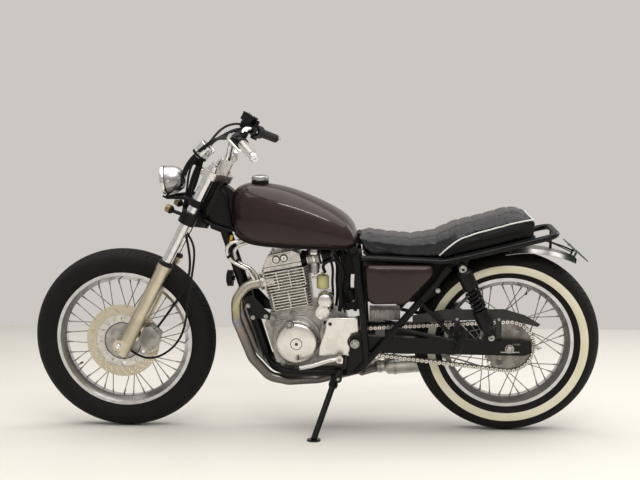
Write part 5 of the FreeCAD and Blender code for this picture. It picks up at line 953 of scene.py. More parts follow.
def seat():
    """Foam seat puffed up by a cloth simulation, with rolled ribs sewn across its top."""
    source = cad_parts["seat"]
    made = linked("seat_cushion", source.data.copy())
    mesh = made.data
    mesh.transform(source.matrix_world)
    back = UPRIGHT.inverted()
    middle = sum((v.co for v in mesh.vertices), Vector()) / len(mesh.vertices)
    mesh.transform(Matrix.Translation(middle) @ Matrix.Scale(SEAT_SHRINK, 4) @ Matrix.Translation(-middle))
    step = made.modifiers.new("fill", "REMESH")
    step.mode = "VOXEL"
    step.voxel_size = SEAT_VOXEL
    soft = made.modifiers.new("soften", "SMOOTH")
    soft.iterations = 8
    soft.factor = 0.5
    bake(made)
    rest = np.array([v.co for v in made.data.vertices])
    cloth = made.modifiers.new("cloth", "CLOTH")
    cloth.settings.use_pressure = True
    cloth.settings.uniform_pressure_force = 3
    cloth.settings.effector_weights.gravity = 0
    cloth.point_cache.frame_end = CLOTH_FRAMES
    for number in range(1, CLOTH_FRAMES + 1):
        bpy.context.scene.frame_set(number)
    bake(made)
    bpy.context.scene.frame_set(1)
    puffed = np.array([v.co for v in made.data.vertices])
    move = puffed - rest
    size = np.linalg.norm(move, axis=1, keepdims=True)
    move *= np.minimum(1, PUFF_LIMIT / np.maximum(size, 1e-9))
    made.data.vertices.foreach_set("co", (rest + move).ravel().astype(np.float32))
    rounding = made.modifiers.new("rounding", "SUBSURF")
    rounding.levels = rounding.render_levels = 1
    bake(made)
    tops_x, tops_z = zip(*reversed(SEAT_TOP))
    edge_x, edge_z = zip(*reversed(PIPING_LINE))
    for vertex in made.data.vertices:
        x, y, z = back @ vertex.co
        # The nose reaches forward under the tank.
        x += 15 * clamp((x + 330) / 150) ** 2
        # The top falls off toward both sides, and the tail rises.
        top = np.interp(x, tops_x, tops_z)
        floor_z = top - 70
        out = clamp(abs(y) / 118)
        drop = np.interp(x, edge_x, np.interp(edge_x, tops_x, tops_z) - np.array(edge_z)) if x < -520 else 34
        share = max(0.0, (z - floor_z) / 70)
        z -= share * (6 + (min(drop, 34) - 4) * out ** 5)
        z += share * 11 * clamp((-600 - x) / 90) * (1 - 0.6 * out ** 3)
        # Each seam between two ribs is a narrow channel, on top and on the padded flanks.
        gap = abs((x + RIB_START + RIB_PITCH / 2) % RIB_PITCH - RIB_PITCH / 2)
        channel = exp(-(gap / 3.4) ** 2) if -760 < x < -205 else 0.0
        puff = cos(pi * gap / RIB_PITCH) ** 2 if -775 < x < -195 else 0.5
        line = np.interp(x, edge_x, edge_z)
        padded = 1.0 if x > PIPING_LINE[0][0] else clamp((z - line) / 7)
        flank = clamp((abs(y) - 104) / 12)
        top_side = clamp(1 - (top - z) / 60)
        z -= padded * (1 - flank) * top_side * (2.6 * channel + 1.2 * puff)
        y -= copysign(padded * flank * (2.0 * channel + 0.8 * puff), y)
        vertex.co = UPRIGHT @ Vector((x, y * 0.99, z))
    settle_seat(made)


def bake(made):
    """Turns an object's modifiers into its mesh."""
    bpy.context.view_layer.update()
    final = bpy.data.meshes.new_from_object(made.evaluated_get(bpy.context.evaluated_depsgraph_get()))
    made.modifiers.clear()
    made.data = final


def settle_seat(made):
    """Hide on top and vinyl below the piping, then the piping itself and the seat's base."""
    made.data.materials.clear()
    for finish in (HIDE, SIDE_VINYL):
        made.data.materials.append(finish)
    back = UPRIGHT.inverted()
    edge_x, edge_z = zip(*reversed(PIPING_LINE))
    for face in made.data.polygons:
        x, y, z = back @ face.center
        below = x < PIPING_LINE[0][0] and z < np.interp(x, edge_x, edge_z)
        face.material_index = 1 if below and (abs(y) > 96 or x < -770) else 0
    made.data.shade_smooth()
    enlist(made, "machine", ["seat"])
    bpy.context.view_layer.update()
    left = [(x, 122, z) for x, z in PIPING_LINE] + [(-796, 104, 814), (-804, 72, 816), (-806, 30, 817)]
    around = smooth(left + [(x, -y, z) for x, y, z in reversed(left)], 5)
    line = []
    for spot in around:
        _, near, normal, _ = made.closest_point_on_mesh(UPRIGHT @ Vector(spot))
        line.append(back @ (near + normal * 0.0014))
    line = [(a + b * 2 + c) / 4 for a, b, c in zip([line[0]] + line, line, line[1:] + [line[-1]])]
    piece("seat_piping", Shape().pipe(line, 2.6, sides=8), PIPING)
    plate("seat_base", [(-190, 688), (-206, 672), (-478, 662), (-556, 681), (-772, 735), (-790, 740), (-772, 728),
        (-556, 674), (-478, 655), (-206, 665), (-184, 680)], 112, -112, MOULDED, 1.0)


def covers_and_tail():
    """Side covers, guard cheeks, regulator, the tank's rear foot, the plate's fixings and the tail's wires."""
    covers = Shape()
    outline = round_corners([(-190, 642), (-428, 640), (-438, 612), (-340, 502), (-216, 499), (-198, 518)],
        (24, 20, 26, 34, 26, 12))
    middle = Vector((-300, 580))
    for side in (1, -1):
        rows = []
        for share, y in ((1.0, 122), (1.0, 130), (0.985, 136), (0.955, 141.5), (0.91, 145.6), (0.84, 148.6),
                (0.72, 150.8), (0.5, 152.2), (0.2, 152.8)):
            spots = [(p - middle) * share + middle for p in outline]
            rows.append([covers.spot(UPRIGHT, (p.x, side * y, p.y)) for p in spots])
        covers.skin(rows)
        covers.face(rows[-1])
        covers.face(rows[0])
    piece("side_cover_shells", covers, BROWN, sharp=60, stands_for=["side_covers"])
    screws = Shape()
    for side in (1, -1):
        screws.bolt((-450, side * 112, 546), (0, side, 0), 7)
    piece("cover_screws", screws, STEEL, 0.3)
    guard = Shape()
    for side in (1, -1):
        guard.side_plate([(-372, 640), (-548, 662), (-500, 620), (-472, 590), (-446, 526), (-404, 492), (-356, 506),
            (-340, 530)], side * 78, side * 75)
    piece("mudguard_cheeks", guard, SATIN_BLACK, 1.0)
    fins = Shape()
    fins.box((-318, -30, 418), (-206, 38, 458))
    for k in range(7):
        fins.box((-312 + k * 16, 38, 420), (-306 + k * 16, 46, 456))
    piece("regulator_fins", fins, CASE_ALLOY, 1.0)
    plate("tank_rear_foot", [(-148, 704), (-182, 700), (-180, 736), (-170, 742), (-160, 736)], 42, -42, MOULDED,
        2.0)
    tail = UPRIGHT @ shift(-946, 0, 672) @ turn(-41, "Y")
    nuts = Shape()
    for y in (-60, 60):
        nuts.bolt((14, y, 2.5), (0, 0, 1), 4.5, tail)
        nuts.bolt((14, y, 0), (0, 0, -1), 4.5, tail)
    piece("plate_bolts", nuts, STEEL)
    edge = Shape()
    edge.pipe([(-37, -88, 2.6), (37, -88, 2.6), (37, 88, 2.6), (-37, 88, 2.6)], 1.3, tail, 6, closed=True)
    piece("plate_rim", edge, SATIN_BLACK, slot="plate")
    hose("tail_wires", [(-800, 24, 706), (-838, 28, 716), (-866, 22, 700), (-905, 18, 690), (-938, 14, 672)], 3)
    hose("tail_ground_wire", [(-800, -10, 706), (-846, -14, 712), (-880, -6, 690), (-934, 2, 666)], 2)


# Engine


def engine_covers():
    """Generator, sprocket and clutch covers with their screws, and the bosses and joint of the cases."""
    place = leftward(CRANK_X, 62, CRANK_Z)
    turned("generator_cover_shell", [(0, 1), (78, 1), (78, 17), (76.5, 20), (74.5, 22), (74, 28), (74, 46),
        (72.5, 52), (69, 55.6), (62, 58), (46, 60), (24, 61), (21.5, 61), (21, 59.4), (19.6, 59.4), (19, 61.4),
        (6, 61.8), (5, 58), (0, 57.6)], place, POLISHED, 72, stands_for=["generator_cover"])
    trims = Shape()
    plug = place @ shift(80 - CRANK_X, CRANK_Z - 418, 0)
    trims.lathe([(0, 40), (14.5, 40), (14.5, 57), (13.6, 58.6), (10.4, 59), (10, 56), (7.6, 56), (7, 58.4),
        (3, 58.4), (2.6, 55), (0, 55)], plug, 28)
    for k in range(9):
        trims.bolt((*polar(74.8, radians(20 + 40 * k)), 17), (0, 0, 1), 4, place, 16)
    piece("generator_cover_screws", trims, STEEL, 0.3)
    marks = Shape()
    marks.box((-2.2, -4, 56.2), (2.2, 15, 60.9), place @ shift(-6, 43, 0))
    marks.band(18.8, 21.8, 58.6, 61.5, place, 48)
    marks.lathe([(0, 57), (6, 57), (6, 61.9), (0, 61.9)], place, 20)
    marks.band(7.4, 10.2, 54, 58.2, plug, 28)
    marks.band(14.4, 16, 44, 58, plug, 28)
    for x, z in ((-66, 423), (-137, 316)):
        marks.bolt((x, 116.6, z), (0, 1, 0), 5.6, sides=14)
    piece("generator_cover_mark", marks, CASE_GREY, 0.5)
    pivot_notch = ring_of(25, 15, (-155, 358), radians(112), radians(-180))
    boss = ring_of(13, 10, (-140, 316), radians(160), radians(140))
    front_edge = smooth([(-26, 304, 0), (-25, 318, 0), (-30, 346, 0), (-40, 376, 0), (-49, 402, 0), (-52, 430, 0)],
        3)
    outline = [(-58, 441), (-66, 444), (-156, 447), (-165, 442), (-169, 388)] + pivot_notch + boss
    outline += [(-122, 307), (-80, 306)] + [(p.x, p.y) for p in front_edge]
    plate("sprocket_cover_shell", outline, 117, 100.5, POLISHED, 3.5, stands_for=["sprocket_cover"])
    wall = Shape()
    wall.side_plate([(-36, 300), (-36, 436), (-150, 438), (-150, 432), (-42, 430), (-42, 300)], 101, 62)
    wall.lathe([(0, 60), (70, 60), (70, 92), (66, 96), (0, 97)], leftward(-96, 0, 372), 40)
    piece("sprocket_cover_walls", wall, CASE_ALLOY, 1.5)
    screws = Shape()
    for x, z, deep in ((-98, 424, 101), (128, 396, 62), (118, 300, 62), (-90, 268, 62), (20, 262, 62),
            (146, 430, 62)):
        screws.bolt((x, deep, z), (0, 1, 0), 5)
    piece("case_screws", screws, STEEL, 0.3)
    right = rightward(-30, -86, 345)
    clutch = Shape()
    clutch.lathe([(0, 1), (88, 1), (88, 18), (86, 21), (82, 23), (80, 34), (74, 40), (66, 43.2), (50, 44),
        (48, 42.6), (30, 42.6), (28, 44), (0, 44)], right, 72)
    clutch.lathe([(0, 1), (34, 1), (34, 24), (31, 28), (26, 29), (0, 29)], rightward(92, -86, 320), 40)
    piece("clutch_cover_shell", clutch, POLISHED, stands_for=["clutch_cover"])
    caps = Shape()
    for k in range(10):
        caps.bolt((*polar(84.5, radians(18 + 36 * k)), 18), (0, 0, 1), 4, right, 16)
    for x, z in ring_of(29, 3, (92, 320), radians(30)):
        caps.bolt((x, -114, z), (0, -1, 0), 4)
    caps.lathe([(0, 0), (15, 0), (15, 6), (13, 9), (0, 9)], rightward(-78, -118, 412), 24)
    piece("clutch_cover_screws", caps, STEEL, 0.3)
    webs = Shape()
    for x, z, radius, deep in ((146, 430, 15, 66), (132, 392, 13, 65), (118, 300, 12, 65), (-90, 268, 12, 65),
            (20, 264, 12, 65), (70, 440, 17, 66), (8, 452, 14, 66), (110, 262, 11, 65)):
        webs.lathe([(0, 60), (radius, 60), (radius * 0.85, deep), (0, deep)], leftward(x, 0, z), 24)
    webs.lathe([(74, 60), (92, 60), (90, 66), (80, 70), (74, 70)], leftward(CRANK_X, 0, CRANK_Z), 72)
    for x0, z0, x1, z1 in ((20, 450, 150, 420), (150, 420, 128, 330), (128, 330, 104, 270), (-30, 452, 20, 450),
            (-20, 262, 96, 258)):
        webs.pipe([(x0, 61, z0), (x1, 61, z1)], 5.5, sides=10)
    piece("case_bosses", webs, CASE_ALLOY, 1.2)
    plate("case_joint", [(172, 410), (150, 330), (130, 264), (90, 254), (-94, 254), (-105, 300), (-123, 326),
        (-123, 392), (-115, 428), (-42, 462), (30, 462), (150, 440)], -11, -13, HOSE_RUBBER)


def top_end():
    """Fin ties, the rocker cover with its bolts, valve caps and ribs, the plug's cap, and the air pipes in front."""
    ties = Shape()
    pitch = 148 / 14
    for low, high, spots in ((0.5, 6.5, (62, 1.3, -59.5)), (7.5, 13.5, (78, 31, -15, -68))):
        for x in spots:
            for side in (1, -1):
                for k in range(int(high - low)):
                    z = pitch * (low + k) + 3.6
                    ties.box((x - 2.6, side * 66 - 7, z - 0.4), (x + 2.6, side * 66 + 7, z + pitch - 3.2), BARREL)
    piece("fin_ties", ties, BARREL_ALLOY, 0.4)
    outline = [(-66, 148), (76, 148), (76, 156), (73, 176), (66, 184), (52, 206), (44, 210), (-36, 212), (-46, 209),
        (-64, 196), (-66, 190)]
    plate("rocker_cover", outline, 60, -60, BARREL_ALLOY, 3.0, BARREL, stands_for=["cylinder_head"])
    trims = Shape()
    for side in (1, -1):
        trims.side_plate([(-30, 172), (44, 172), (44, 205), (-30, 205)], side * 62.5, side * 59, BARREL)
    piece("rocker_windows", trims, BARREL_ALLOY, 2.0)
    caps = Shape()
    rings = Shape()
    for side in (1, -1):
        for x in (21.6, -6.9):
            place = BARREL @ aim((x, side * 62, 189), (0, side, 0))
            caps.lathe([(0, 0), (11.4, 0), (11.4, 3.6), (10, 5), (6, 5), (5.4, 3.4), (0, 3.4)], place, 28)
            rings.band(11.5, 14.6, 0, 2.2, place, 28)
            rings.lathe([(0, 3.6), (2.6, 3.6), (2.6, 4.4), (0, 4.4)], place, 14)
        for x, z in ((-58, 158), (66, 158), (-58, 186), (58, 186)):
            caps.bolt((x, side * 60, z), (0, side, 0), 4.6, BARREL)
    for x in (-40, 0, 40):
        for y in (-40, 40):
            caps.bolt((x, y, 211), (0, 0, 1), 5, BARREL)
    piece("valve_caps", caps, POLISHED, 0.3)
    piece("valve_cap_rings", rings, CASE_GREY)
    seam = Shape()
    for low, high in ((164, 166), (148, 149.4)):
        seam.side_plate([(-67, low), (77, low), (77, high), (-67, high)], 61, -61, BARREL)
    piece("head_joints", seam, HOSE_RUBBER)
    ribs = Shape()
    fine = [(-60 + k * 4.6, 1.4, 170, 194) for k in range(7)]
    for x, wide, low, high in fine + [(x, 1.6, 166, 182) for x in (50, 56, 62)]:
        ribs.side_plate([(x, low), (x + wide, low), (x + wide, high), (x, high)], 61.4, 59, BARREL)
    piece("rocker_ribs", ribs, BARREL_ALLOY, 0.4)
    plug = Shape()
    plug.rod((4, -56, 132), (-2, -96, 156), 5, BARREL, 14)
    plug.rod((-1, -88, 151), (-4, -106, 162), 9, BARREL, 18, 7)
    piece("plug_cap", plug, HOSE_RUBBER, 0.8)
    hose("plug_lead", [(-4, -104, 161), (-10, -112, 172), (-34, -96, 206), (-62, -60, 222), (-92, -30, 226)], 3.4,
        BARREL)
    pipes = Shape()
    clamps = Shape()
    outer = [(232, 40, 722), (265, 50, 714), (294, 58, 706), (309, 60, 684), (302, 60, 658), (286, 60, 638),
        (262, 60, 624), (238, 60, 612), (222, 60, 592), (212, 58, 572)]
    inner = [(214, 24, 716), (240, 32, 704), (268, 40, 694), (284, 42, 672), (274, 42, 640), (254, 42, 624),
        (228, 44, 612), (208, 46, 590), (198, 48, 570)]
    for line in (outer, inner):
        pipes.pipe(smooth(line, 5), 6.4, sides=14)
        clamps.band(6.6, 8.2, -5, 5, UPRIGHT @ aim(line[4], Vector(line[5]) - Vector(line[4])), 20)
    piece("air_pipes", pipes, POLISHED)
    piece("air_pipe_clamps", clamps, SATIN_BLACK, 1.0)


def intake():
    """Inlet rubbers, carburettor caps and hoses, the filter, the engine's looms, the inlet trunk and the starter."""
    rubber_parts = Shape()
    bright = Shape()
    for place in (BARREL, BARREL @ MIRROR):
        run = place @ shift(*INLET) @ turn(-90, "Y")
        rubber_parts.lathe([(17.2, 0), (22, 0.5), (23, 5), (20, 10), (20, 16), (23, 20), (23, 26), (17.2, 27)], run,
            28)
        rubber_parts.lathe([(24.4, 64), (27.6, 66), (28.4, 74), (28.4, 104), (27, 112), (20, 114), (0, 114)], run,
            32)
        bright.band(23.2, 24.2, 20.5, 24.5, run, 28)
        bright.band(28.4, 29.4, 72, 76, run)
        bright.lathe([(24.2, 40), (25.6, 42), (25.6, 50), (24.2, 52)], run, 32, loop=True)
    spot = UPRIGHT.inverted() @ (BARREL @ Vector(INLET))
    x, z = spot.x - 46, spot.z - 8.5
    for side in (1, -1):
        bright.lathe([(20.2, 30), (21.8, 31), (21.8, 40), (18, 44), (8, 45.4), (0, 45.4)],
            UPRIGHT @ shift(x, side * 34, z), 32)
        bright.bolt((x, side * 34, z - 54), (0, 0, -1), 7)
        bright.bolt((x - 4, side * 57, z - 4), (0, side, 0), 4, sides=12)
        bright.bolt((x + 12, side * 55, z + 12), (0, side, 0), 3.4, sides=12)
    piece("inlet_rubbers", rubber_parts, HOSE_RUBBER, 0.6)
    piece("carburettor_caps", bright, POLISHED, 0.4)
    hose("breather_hose", [(-46, 44, 598), (-34, 60, 622), (-48, 70, 640), (-78, 72, 652), (-104, 70, 636),
        (-116, 66, 604), (-108, 56, 560)], 6)
    hose("drain_hose", [(-96, 48, 560), (-92, 56, 528), (-104, 62, 492), (-118, 60, 452)], 3.4)
    hose("fuel_hose", [(-92, 20, 700), (-94, 30, 676), (-90, 44, 650), (-96, 38, 622)], 4)
    turned("fuel_filter", [(0, 0), (18, 0), (23, 3), (23, 44), (19, 50), (8, 52), (6, 60), (0, 60)],
        UPRIGHT @ shift(-36, 18, 532), RESERVOIR, 28, bevel=0.5)
    for k, (x, y, thick) in enumerate(((-70, 20, 5), (-100, 54, 8), (-126, 30, 11), (-156, 48, 7), (-112, -14, 10),
            (-168, 10, 12), (-84, -34, 6))):
        hose(f"engine_loom_{k}", [(x + 22, y, 688), (x + 8, y + 6, 650), (x - 8, y + 8, 606), (x + 3, y + 4, 556),
            (x - 6, y, 506), (x + 2, y, 456)], thick)
    inlet = Shape()
    inlet.box((-178, -52, 592), (-118, 52, 668))
    inlet.lathe([(0, -20), (17, -20), (19, -16), (19, 20), (16, 24), (0, 24)],
        UPRIGHT @ shift(-140, 34, 512) @ turn(16, "Y"), 24)
    inlet.box((-176, 20, 462), (-120, 56, 486))
    piece("inlet_trunk", inlet, SATIN_BLACK, 5.0)
    turned("starter_shell", [(0, -16), (29, -16), (30, -13), (30, 58), (29, 60), (29, 62), (30, 64), (30, 70),
        (27.6, 76), (22, 81), (12, 84.4), (0, 85)], leftward(-46, 0, 495.7), POLISHED, 48,
        stands_for=["starter_motor"])
    turned("idler_cap", [(0, 60), (27, 60), (27, 78), (25, 80.4), (19, 81), (18, 79.6), (0, 79.6)],
        leftward(-37, 0, 455), POLISHED, 40)


# Exhaust


def exhaust():
    """The headers' port clamps, the muffler and its two bands."""
    rings = Shape()
    for side in (1, -1):
        rings.lathe([(18.4, 0), (27, 0), (27, 6), (24, 9), (18.4, 9)],
            BARREL @ shift(86, side * 52, 114) @ turn(90, "Y"), 32)
        for high in (-30, 30):
            rings.bolt((94, side * 52, 114 + high * 0.78), (1, 0, 0), 4.6, BARREL)
    piece("port_clamps", rings, STEEL, 0.4)
    start, end = Vector((-222, -132, 196)), Vector((-452, -132, 216))
    base = UPRIGHT @ aim(start, end - start)
    far = (end - start).length
    turned("muffler_shell", [(26.4, 12), (28, 14), (28, 22), (27, 24), (26.6, 40), (33, 46), (38.2, 54), (38.4, 60),
        (38.4, far - 12), (37, far - 5), (31, far), (22, far + 1), (21, far - 2), (21, far - 30), (0, far - 30)],
        base, MUFFLER_GREY, 48, stands_for=["muffler"])
    bands = Shape()
    for at, radius in ((16, 28.2), (74, 38.6)):
        bands.band(radius, radius + 1.6, at, at + 12, base, 40)
        bands.bolt((0, radius + 6, at + 6), (1, 0, 0), 5, base)
    piece("muffler_bands", bands, STEEL, 0.4)


# Frame, swingarm and what hangs on them


def running_gear():
    """Bolts and nuts of the frame, chain adjusters, peg rubbers, the shift lever and the brake rod."""
    nuts = Shape()
    for side in (1, -1):
        for x, z in ((234, 478), (218, 434), (170, 438)):
            nuts.bolt((x, 70 if side > 0 else -90, z), (0, side, 0), 6.5)
        for (x, z), y, size, sides in ((SHOCK_TOP, 162, 11, 24), (SHOCK_FOOT, 162, 9, 6),
                (REAR_AXLE, 119.5, 13, 6)):
            nuts.bolt((x, side * y, z), (0, side, 0), size, sides=sides)
        nuts.bolt((-155, side * 147, 358), (0, side, 0), 13)
        nuts.rod((-796, side * 107, 338), (-820, side * 107, 338), 4, count=12)
        nuts.bolt((-806, side * 107, 338), (-1, 0, 0), 7)
        nuts.bolt((-518, side * 172, 372), (0, side, 0), 6)
        nuts.bolt((-98, side * 222, 250), (0, side, 0.02), 5)
    for x, y, z, size in ((-520, 102, 440, 4.6), (-668, 102, 440, 4.6), (-100, 157, 302, 6)):
        nuts.bolt((x, y, z), (0, 1, 0), size)
    piece("frame_nuts", nuts, STEEL, 0.3)
    marks = Shape()
    for side in (1, -1):
        for k in range(6):
            marks.box((-742 + k * 5, side * 119.2 - 0.5, 350), (-741 + k * 5, side * 119.2 + 0.5, 356))
        marks.side_plate([(-740, 322), (-674, 322), (-674, 326), (-740, 326)], side * 119.8, side * 118.6)
        marks.box((-788, side * 107 - 14, 326), (-784, side * 107 + 14, 352))
    piece("adjuster_marks", marks, STEEL)
    pegs = Shape()
    runs = [((52, 152, 269), (52, 190, 269), 10.6, 0, 4)]
    for side in (1, -1):
        runs += [((-98, side * 136, 247), (-98, side * 223, 250), 13.4, 0, 7),
            ((-512, side * 170, 340), (-546, side * 172, 414), 15, 2, 6)]
    for start, end, radius, spare, count in runs:
        along = Vector(end) - Vector(start)
        pegs.lathe(ribbed(radius, along.length + spare, count), UPRIGHT @ aim(start, along), 20)
    piece("peg_rubbers", pegs, HOSE_RUBBER)
    lever = Shape()
    lever.pipe(smooth([(-100, 151, 302), (-60, 152, 296), (-10, 153, 280), (30, 154, 271), (52, 154, 269)], 5),
        [9 - 0.13 * k for k in range(21)], sides=14)
    lever.lathe([(7.4, -9), (13, -9), (13, 7), (7.4, 7)], UPRIGHT @ aim((-100, 152, 302), (0, 1, 0)), 24)
    piece("shift_lever_arm", lever, POLISHED, 0.5)
    rod = Shape()
    rod.pipe(smooth([(36, -52, -126), (60, -60, -126), (200, -104, -96), (430, -120, -60), (560, -126, -46)], 6),
        3.2, REAR, 10)
    rod.lathe([(3.4, 0), (5.6, 1), (6, 8), (3.4, 10)], REAR @ aim((34, -52, -126), (-1, 0, 0)), 16)
    piece("brake_rod", rod, STEEL)


def ribbed(radius, length, count):
    """Half outline of a rubber with that many ribs."""
    pitch = length / count
    profile = [(0, 0)]
    for k in range(count):
        low = k * pitch
        profile += [(radius, low + 0.4), (radius, low + pitch * 0.7), (radius - 1.6, low + pitch * 0.78),
            (radius - 1.6, low + pitch * 0.96)]
    return profile + [(radius - 1.6, length), (0, length)]


def chain():
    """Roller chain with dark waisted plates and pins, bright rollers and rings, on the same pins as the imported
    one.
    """
    pitch = 15.875
    centres = {"rear": (Vector(REAR_AXLE), 36, 180), "front": (Vector(FRONT_SPROCKET), 15, 0)}
    radius = {key: pitch / 2 / sin(pi / teeth) for key, (_, teeth, _) in centres.items()}
    run = centres["front"][0] - centres["rear"][0]
    slope = degrees(atan2(run.y, run.x))
    lift = degrees(asin((radius["rear"] - radius["front"]) / run.length))
    turns = []
    for key, (centre, teeth, ahead) in centres.items():
        step = 360 / teeth
        wrap = 180 + (2 * lift if ahead else -2 * lift)
        links = 2 * int(wrap / step / 2) + 1
        angles = [radians(slope + ahead + (k - links / 2) * step) for k in range(links + 1)]
        turns.append([centre + Vector(polar(radius[key], a)) for a in angles])
    pins = []
    for turn_pins, following in ((turns[0], turns[1]), (turns[1], turns[0])):
        pins += turn_pins
        gap = following[0] - turn_pins[-1]
        links = round(gap.length / pitch)
        pins += [turn_pins[-1] + gap * (k / links) for k in range(1, links)]
    plates = Shape()
    rollers = Shape()
    half = ring_of(7, 8, start=radians(50), angle=radians(296))
    for k, pin in enumerate(pins):
        along = pins[(k + 1) % len(pins)] - pin
        place = UPRIGHT @ shift(pin.x, 80, pin.y) @ Matrix.Rotation(-atan2(along.y, along.x), 4, "Y")
        waist = along.length / 2
        outline = half + [(waist, -4.6)] + [(along.length - x, -z) for x, z in half] + [(waist, 4.6)]
        near = 6.4 if k % 2 else 8.2
        for side in (1, -1):
            plates.side_plate(outline, side * near, side * (near + 1.5), place)
            rollers.lathe([(2.9, 9.7), (6.6, 9.7), (6.2, 10.6), (3.2, 10.6)], place @ aim((0, 0, 0), (0, side, 0)),
                12, loop=True)
        plates.rod((0, -11, 0), (0, 11, 0), 2.5, place, 10)
        rollers.rod((0, -6.2, 0), (0, 6.2, 0), 5.1, place, 10)
    piece("chain_plates", plates, SPROCKET_STEEL, stands_for=["drive_chain"])
    piece("chain_rings", rollers, CHAIN_STEEL, sharp=60)


def shocks():
    """Each shock: dark eyes, a smooth upper cover, the coil and the damper's body."""
    dark, coil, bright = Shape(), Shape(), Shape()
    for side in (1, -1):
        top, foot = (Vector((x, side * 151, z)) for x, z in (SHOCK_TOP, SHOCK_FOOT))
        length = (foot - top).length
        base = UPRIGHT @ aim(top, foot - top)
        dark.lathe([(10, 10), (24, 12), (27.4, 17), (27.8, 24), (27.8, 74), (26.6, 78), (21, 79), (20.4, 70),
            (10, 70)], base, 40)
        dark.lathe([(19, length - 106), (26, length - 105), (28, length - 100), (28, length - 46),
            (26, length - 38), (20, length - 30), (19, length - 14), (15, length - 8), (0, length - 8)], base, 36)
        dark.lathe([(0, 60), (14, 60), (14, length - 46), (0, length - 46)], base, 24)
        coil.pipe([(*polar(23.2, tau * k / 20), 81 + (length - 188) * k / 100) for k in range(101)], 4.3, base)
        for spot in (top, foot):
            bright.lathe([(7.4, -11), (15, -11), (15.4, -9), (15.4, 9), (15, 11), (7.4, 11)],
                UPRIGHT @ aim(spot, (0, side, 0)), 32, loop=True)
    piece("shock_covers", dark, BLACK_PAINT, 0.5, stands_for=["shock_absorbers"])
    piece("shock_coils", coil, BLACK_PAINT)
    piece("shock_eyes", bright, SATIN_BLACK, slot="frame_black")


def small_lamps():
    """Round amber lamps with dark cans on short stalks, and the horn's face."""
    cans, lenses, stalks, horn = (Shape() for _ in range(4))
    for side in (1, -1):
        base = FORK @ shift(96, side * 84, 532) @ turn(90, "Y")
        cans.lathe([(0, 2), (7, 2), (11.5, 5), (14.6, 10), (15.4, 14), (15.4, 17), (0, 17)], base, 32)
        lenses.lathe([(0, 17.2), (14.6, 17.2), (15.2, 19), (15, 27), (12.4, 32), (7, 35), (0, 36)], base, 32)
        stalks.rod((66, side * 88, 536), (98, side * 85, 532), 6.5, FORK, 16)
    piece("small_lamp_cans", cans, MOULDED, body="steering", stands_for=["front_signals"])
    piece("small_lamp_lenses", lenses, AMBER, body="steering")
    piece("small_lamp_stalks", stalks, SATIN_BLACK, body="steering", slot="frame_black")
    face = UPRIGHT @ shift(297, 0, 566) @ turn(90, "Y")
    horn.lathe([(0, 20), (8, 21), (9, 22.4), (20, 22.4), (22, 20.6), (29, 20.4), (30.4, 18), (30.4, 14), (29, 12)],
        face, 40)
    for radius in (11, 15, 19):
        horn.lathe([(radius, 22.2), (radius + 1.4, 23.2), (radius + 2.6, 22.2)], face, 40)
    piece("horn_face", horn, SATIN_BLACK)


def control_cables():
    """Cables from the bars back under the tank, the looms behind the headlamp, and the steering head's gussets."""
    right = [MIRROR @ bar_spot(d) for d in (170, 178, 186)]
    left = [bar_spot(d) for d in (150, 158)]
    routes = []
    for k, start in enumerate(right + left):
        side = -1 if k < 3 else 1
        low = 10 * (k - 2)
        routes.append([start, (30 + 3 * k, side * 176, 880 - 5 * k), (62 + 3 * k, side * 106, 856 - 6 * k),
            (92 + 2 * k, side * 34 + low * 0.6, 800 - 6 * k), (102 - 3 * k, low, 728),
            (92 - 4 * k, low * 0.9 + 4, 652), (66, 24 + low * 0.5, 590), (22, 42 + low * 0.3, 556),
            (-30, 40 + low * 0.3, 545), (-80, 34 + low * 0.3, 548), (-135, 30 + low * 0.2, 560),
            (-190, 26 + low * 0.2, 566)])
    shape = Shape()
    for route in routes:
        shape.pipe(smooth(route, 8), 3.8, FORK, 10)
    made = piece("control_cables", shape, HOSE_RUBBER, body="steering")
    made.parent = None
    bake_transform(made)
    for k, side in enumerate((1, -1, 1, -1)):
        rise = 5 * (k // 2)
        hose(f"lamp_loom_{k}", [(118 - rise, side * 14, 604), (134 - rise, side * 20, 640),
            (140 - rise, side * 26, 690), (126 - rise, side * 34, 740), (98 - rise, side * 66, 806),
            (62, side * 120, 858 - rise), (14 - rise, side * 186, 880)], 4.2, FORK, "steering")
        hose(f"yoke_loom_{k}", [(98, side * (8 + rise), 742), (104, side * (14 + rise), 700),
            (96, side * (20 + rise), 640), (76, side * (26 + rise), 580), (62, side * (24 + rise), 520),
            (58, side * 20, 486)], 4.6, FORK, "steering")
    plug = Shape()
    plug.box((-5, -4, -9), (5, 4, 9), FORK @ shift(-127, 34, 531) @ turn(20, "Y"))
    plug.rod((-127, 34, 520), (-132, 34, 508), 3, FORK, 12)
    piece("connector_block", plug, CONNECTOR, 0.8)
    plate("head_gussets", round_corners([(368, 846), (318, 918), (276, 884), (258, 800), (284, 744), (330, 738),
        (372, 754), (382, 800)], (4, 8, 8, 8, 8, 8, 4, 4)), 23, -23, BLACK_PAINT, 2.5)
    for k, y in enumerate((26, 31, -28)):
        hose(f"head_loom_{k}", [(330, y, 905 - 9 * k), (300, y + 2, 872), (316, y + 4, 836), (292, y + 3, 800),
            (306, y, 766), (272, y, 744)], 5)


for build in (front_disc, fork_trim, headlamp, speedometer, controls, front_hoses, tank, seat, covers_and_tail,
        engine_covers, top_end, intake, exhaust, running_gear, chain, shocks, small_lamps, control_cables):
    build()


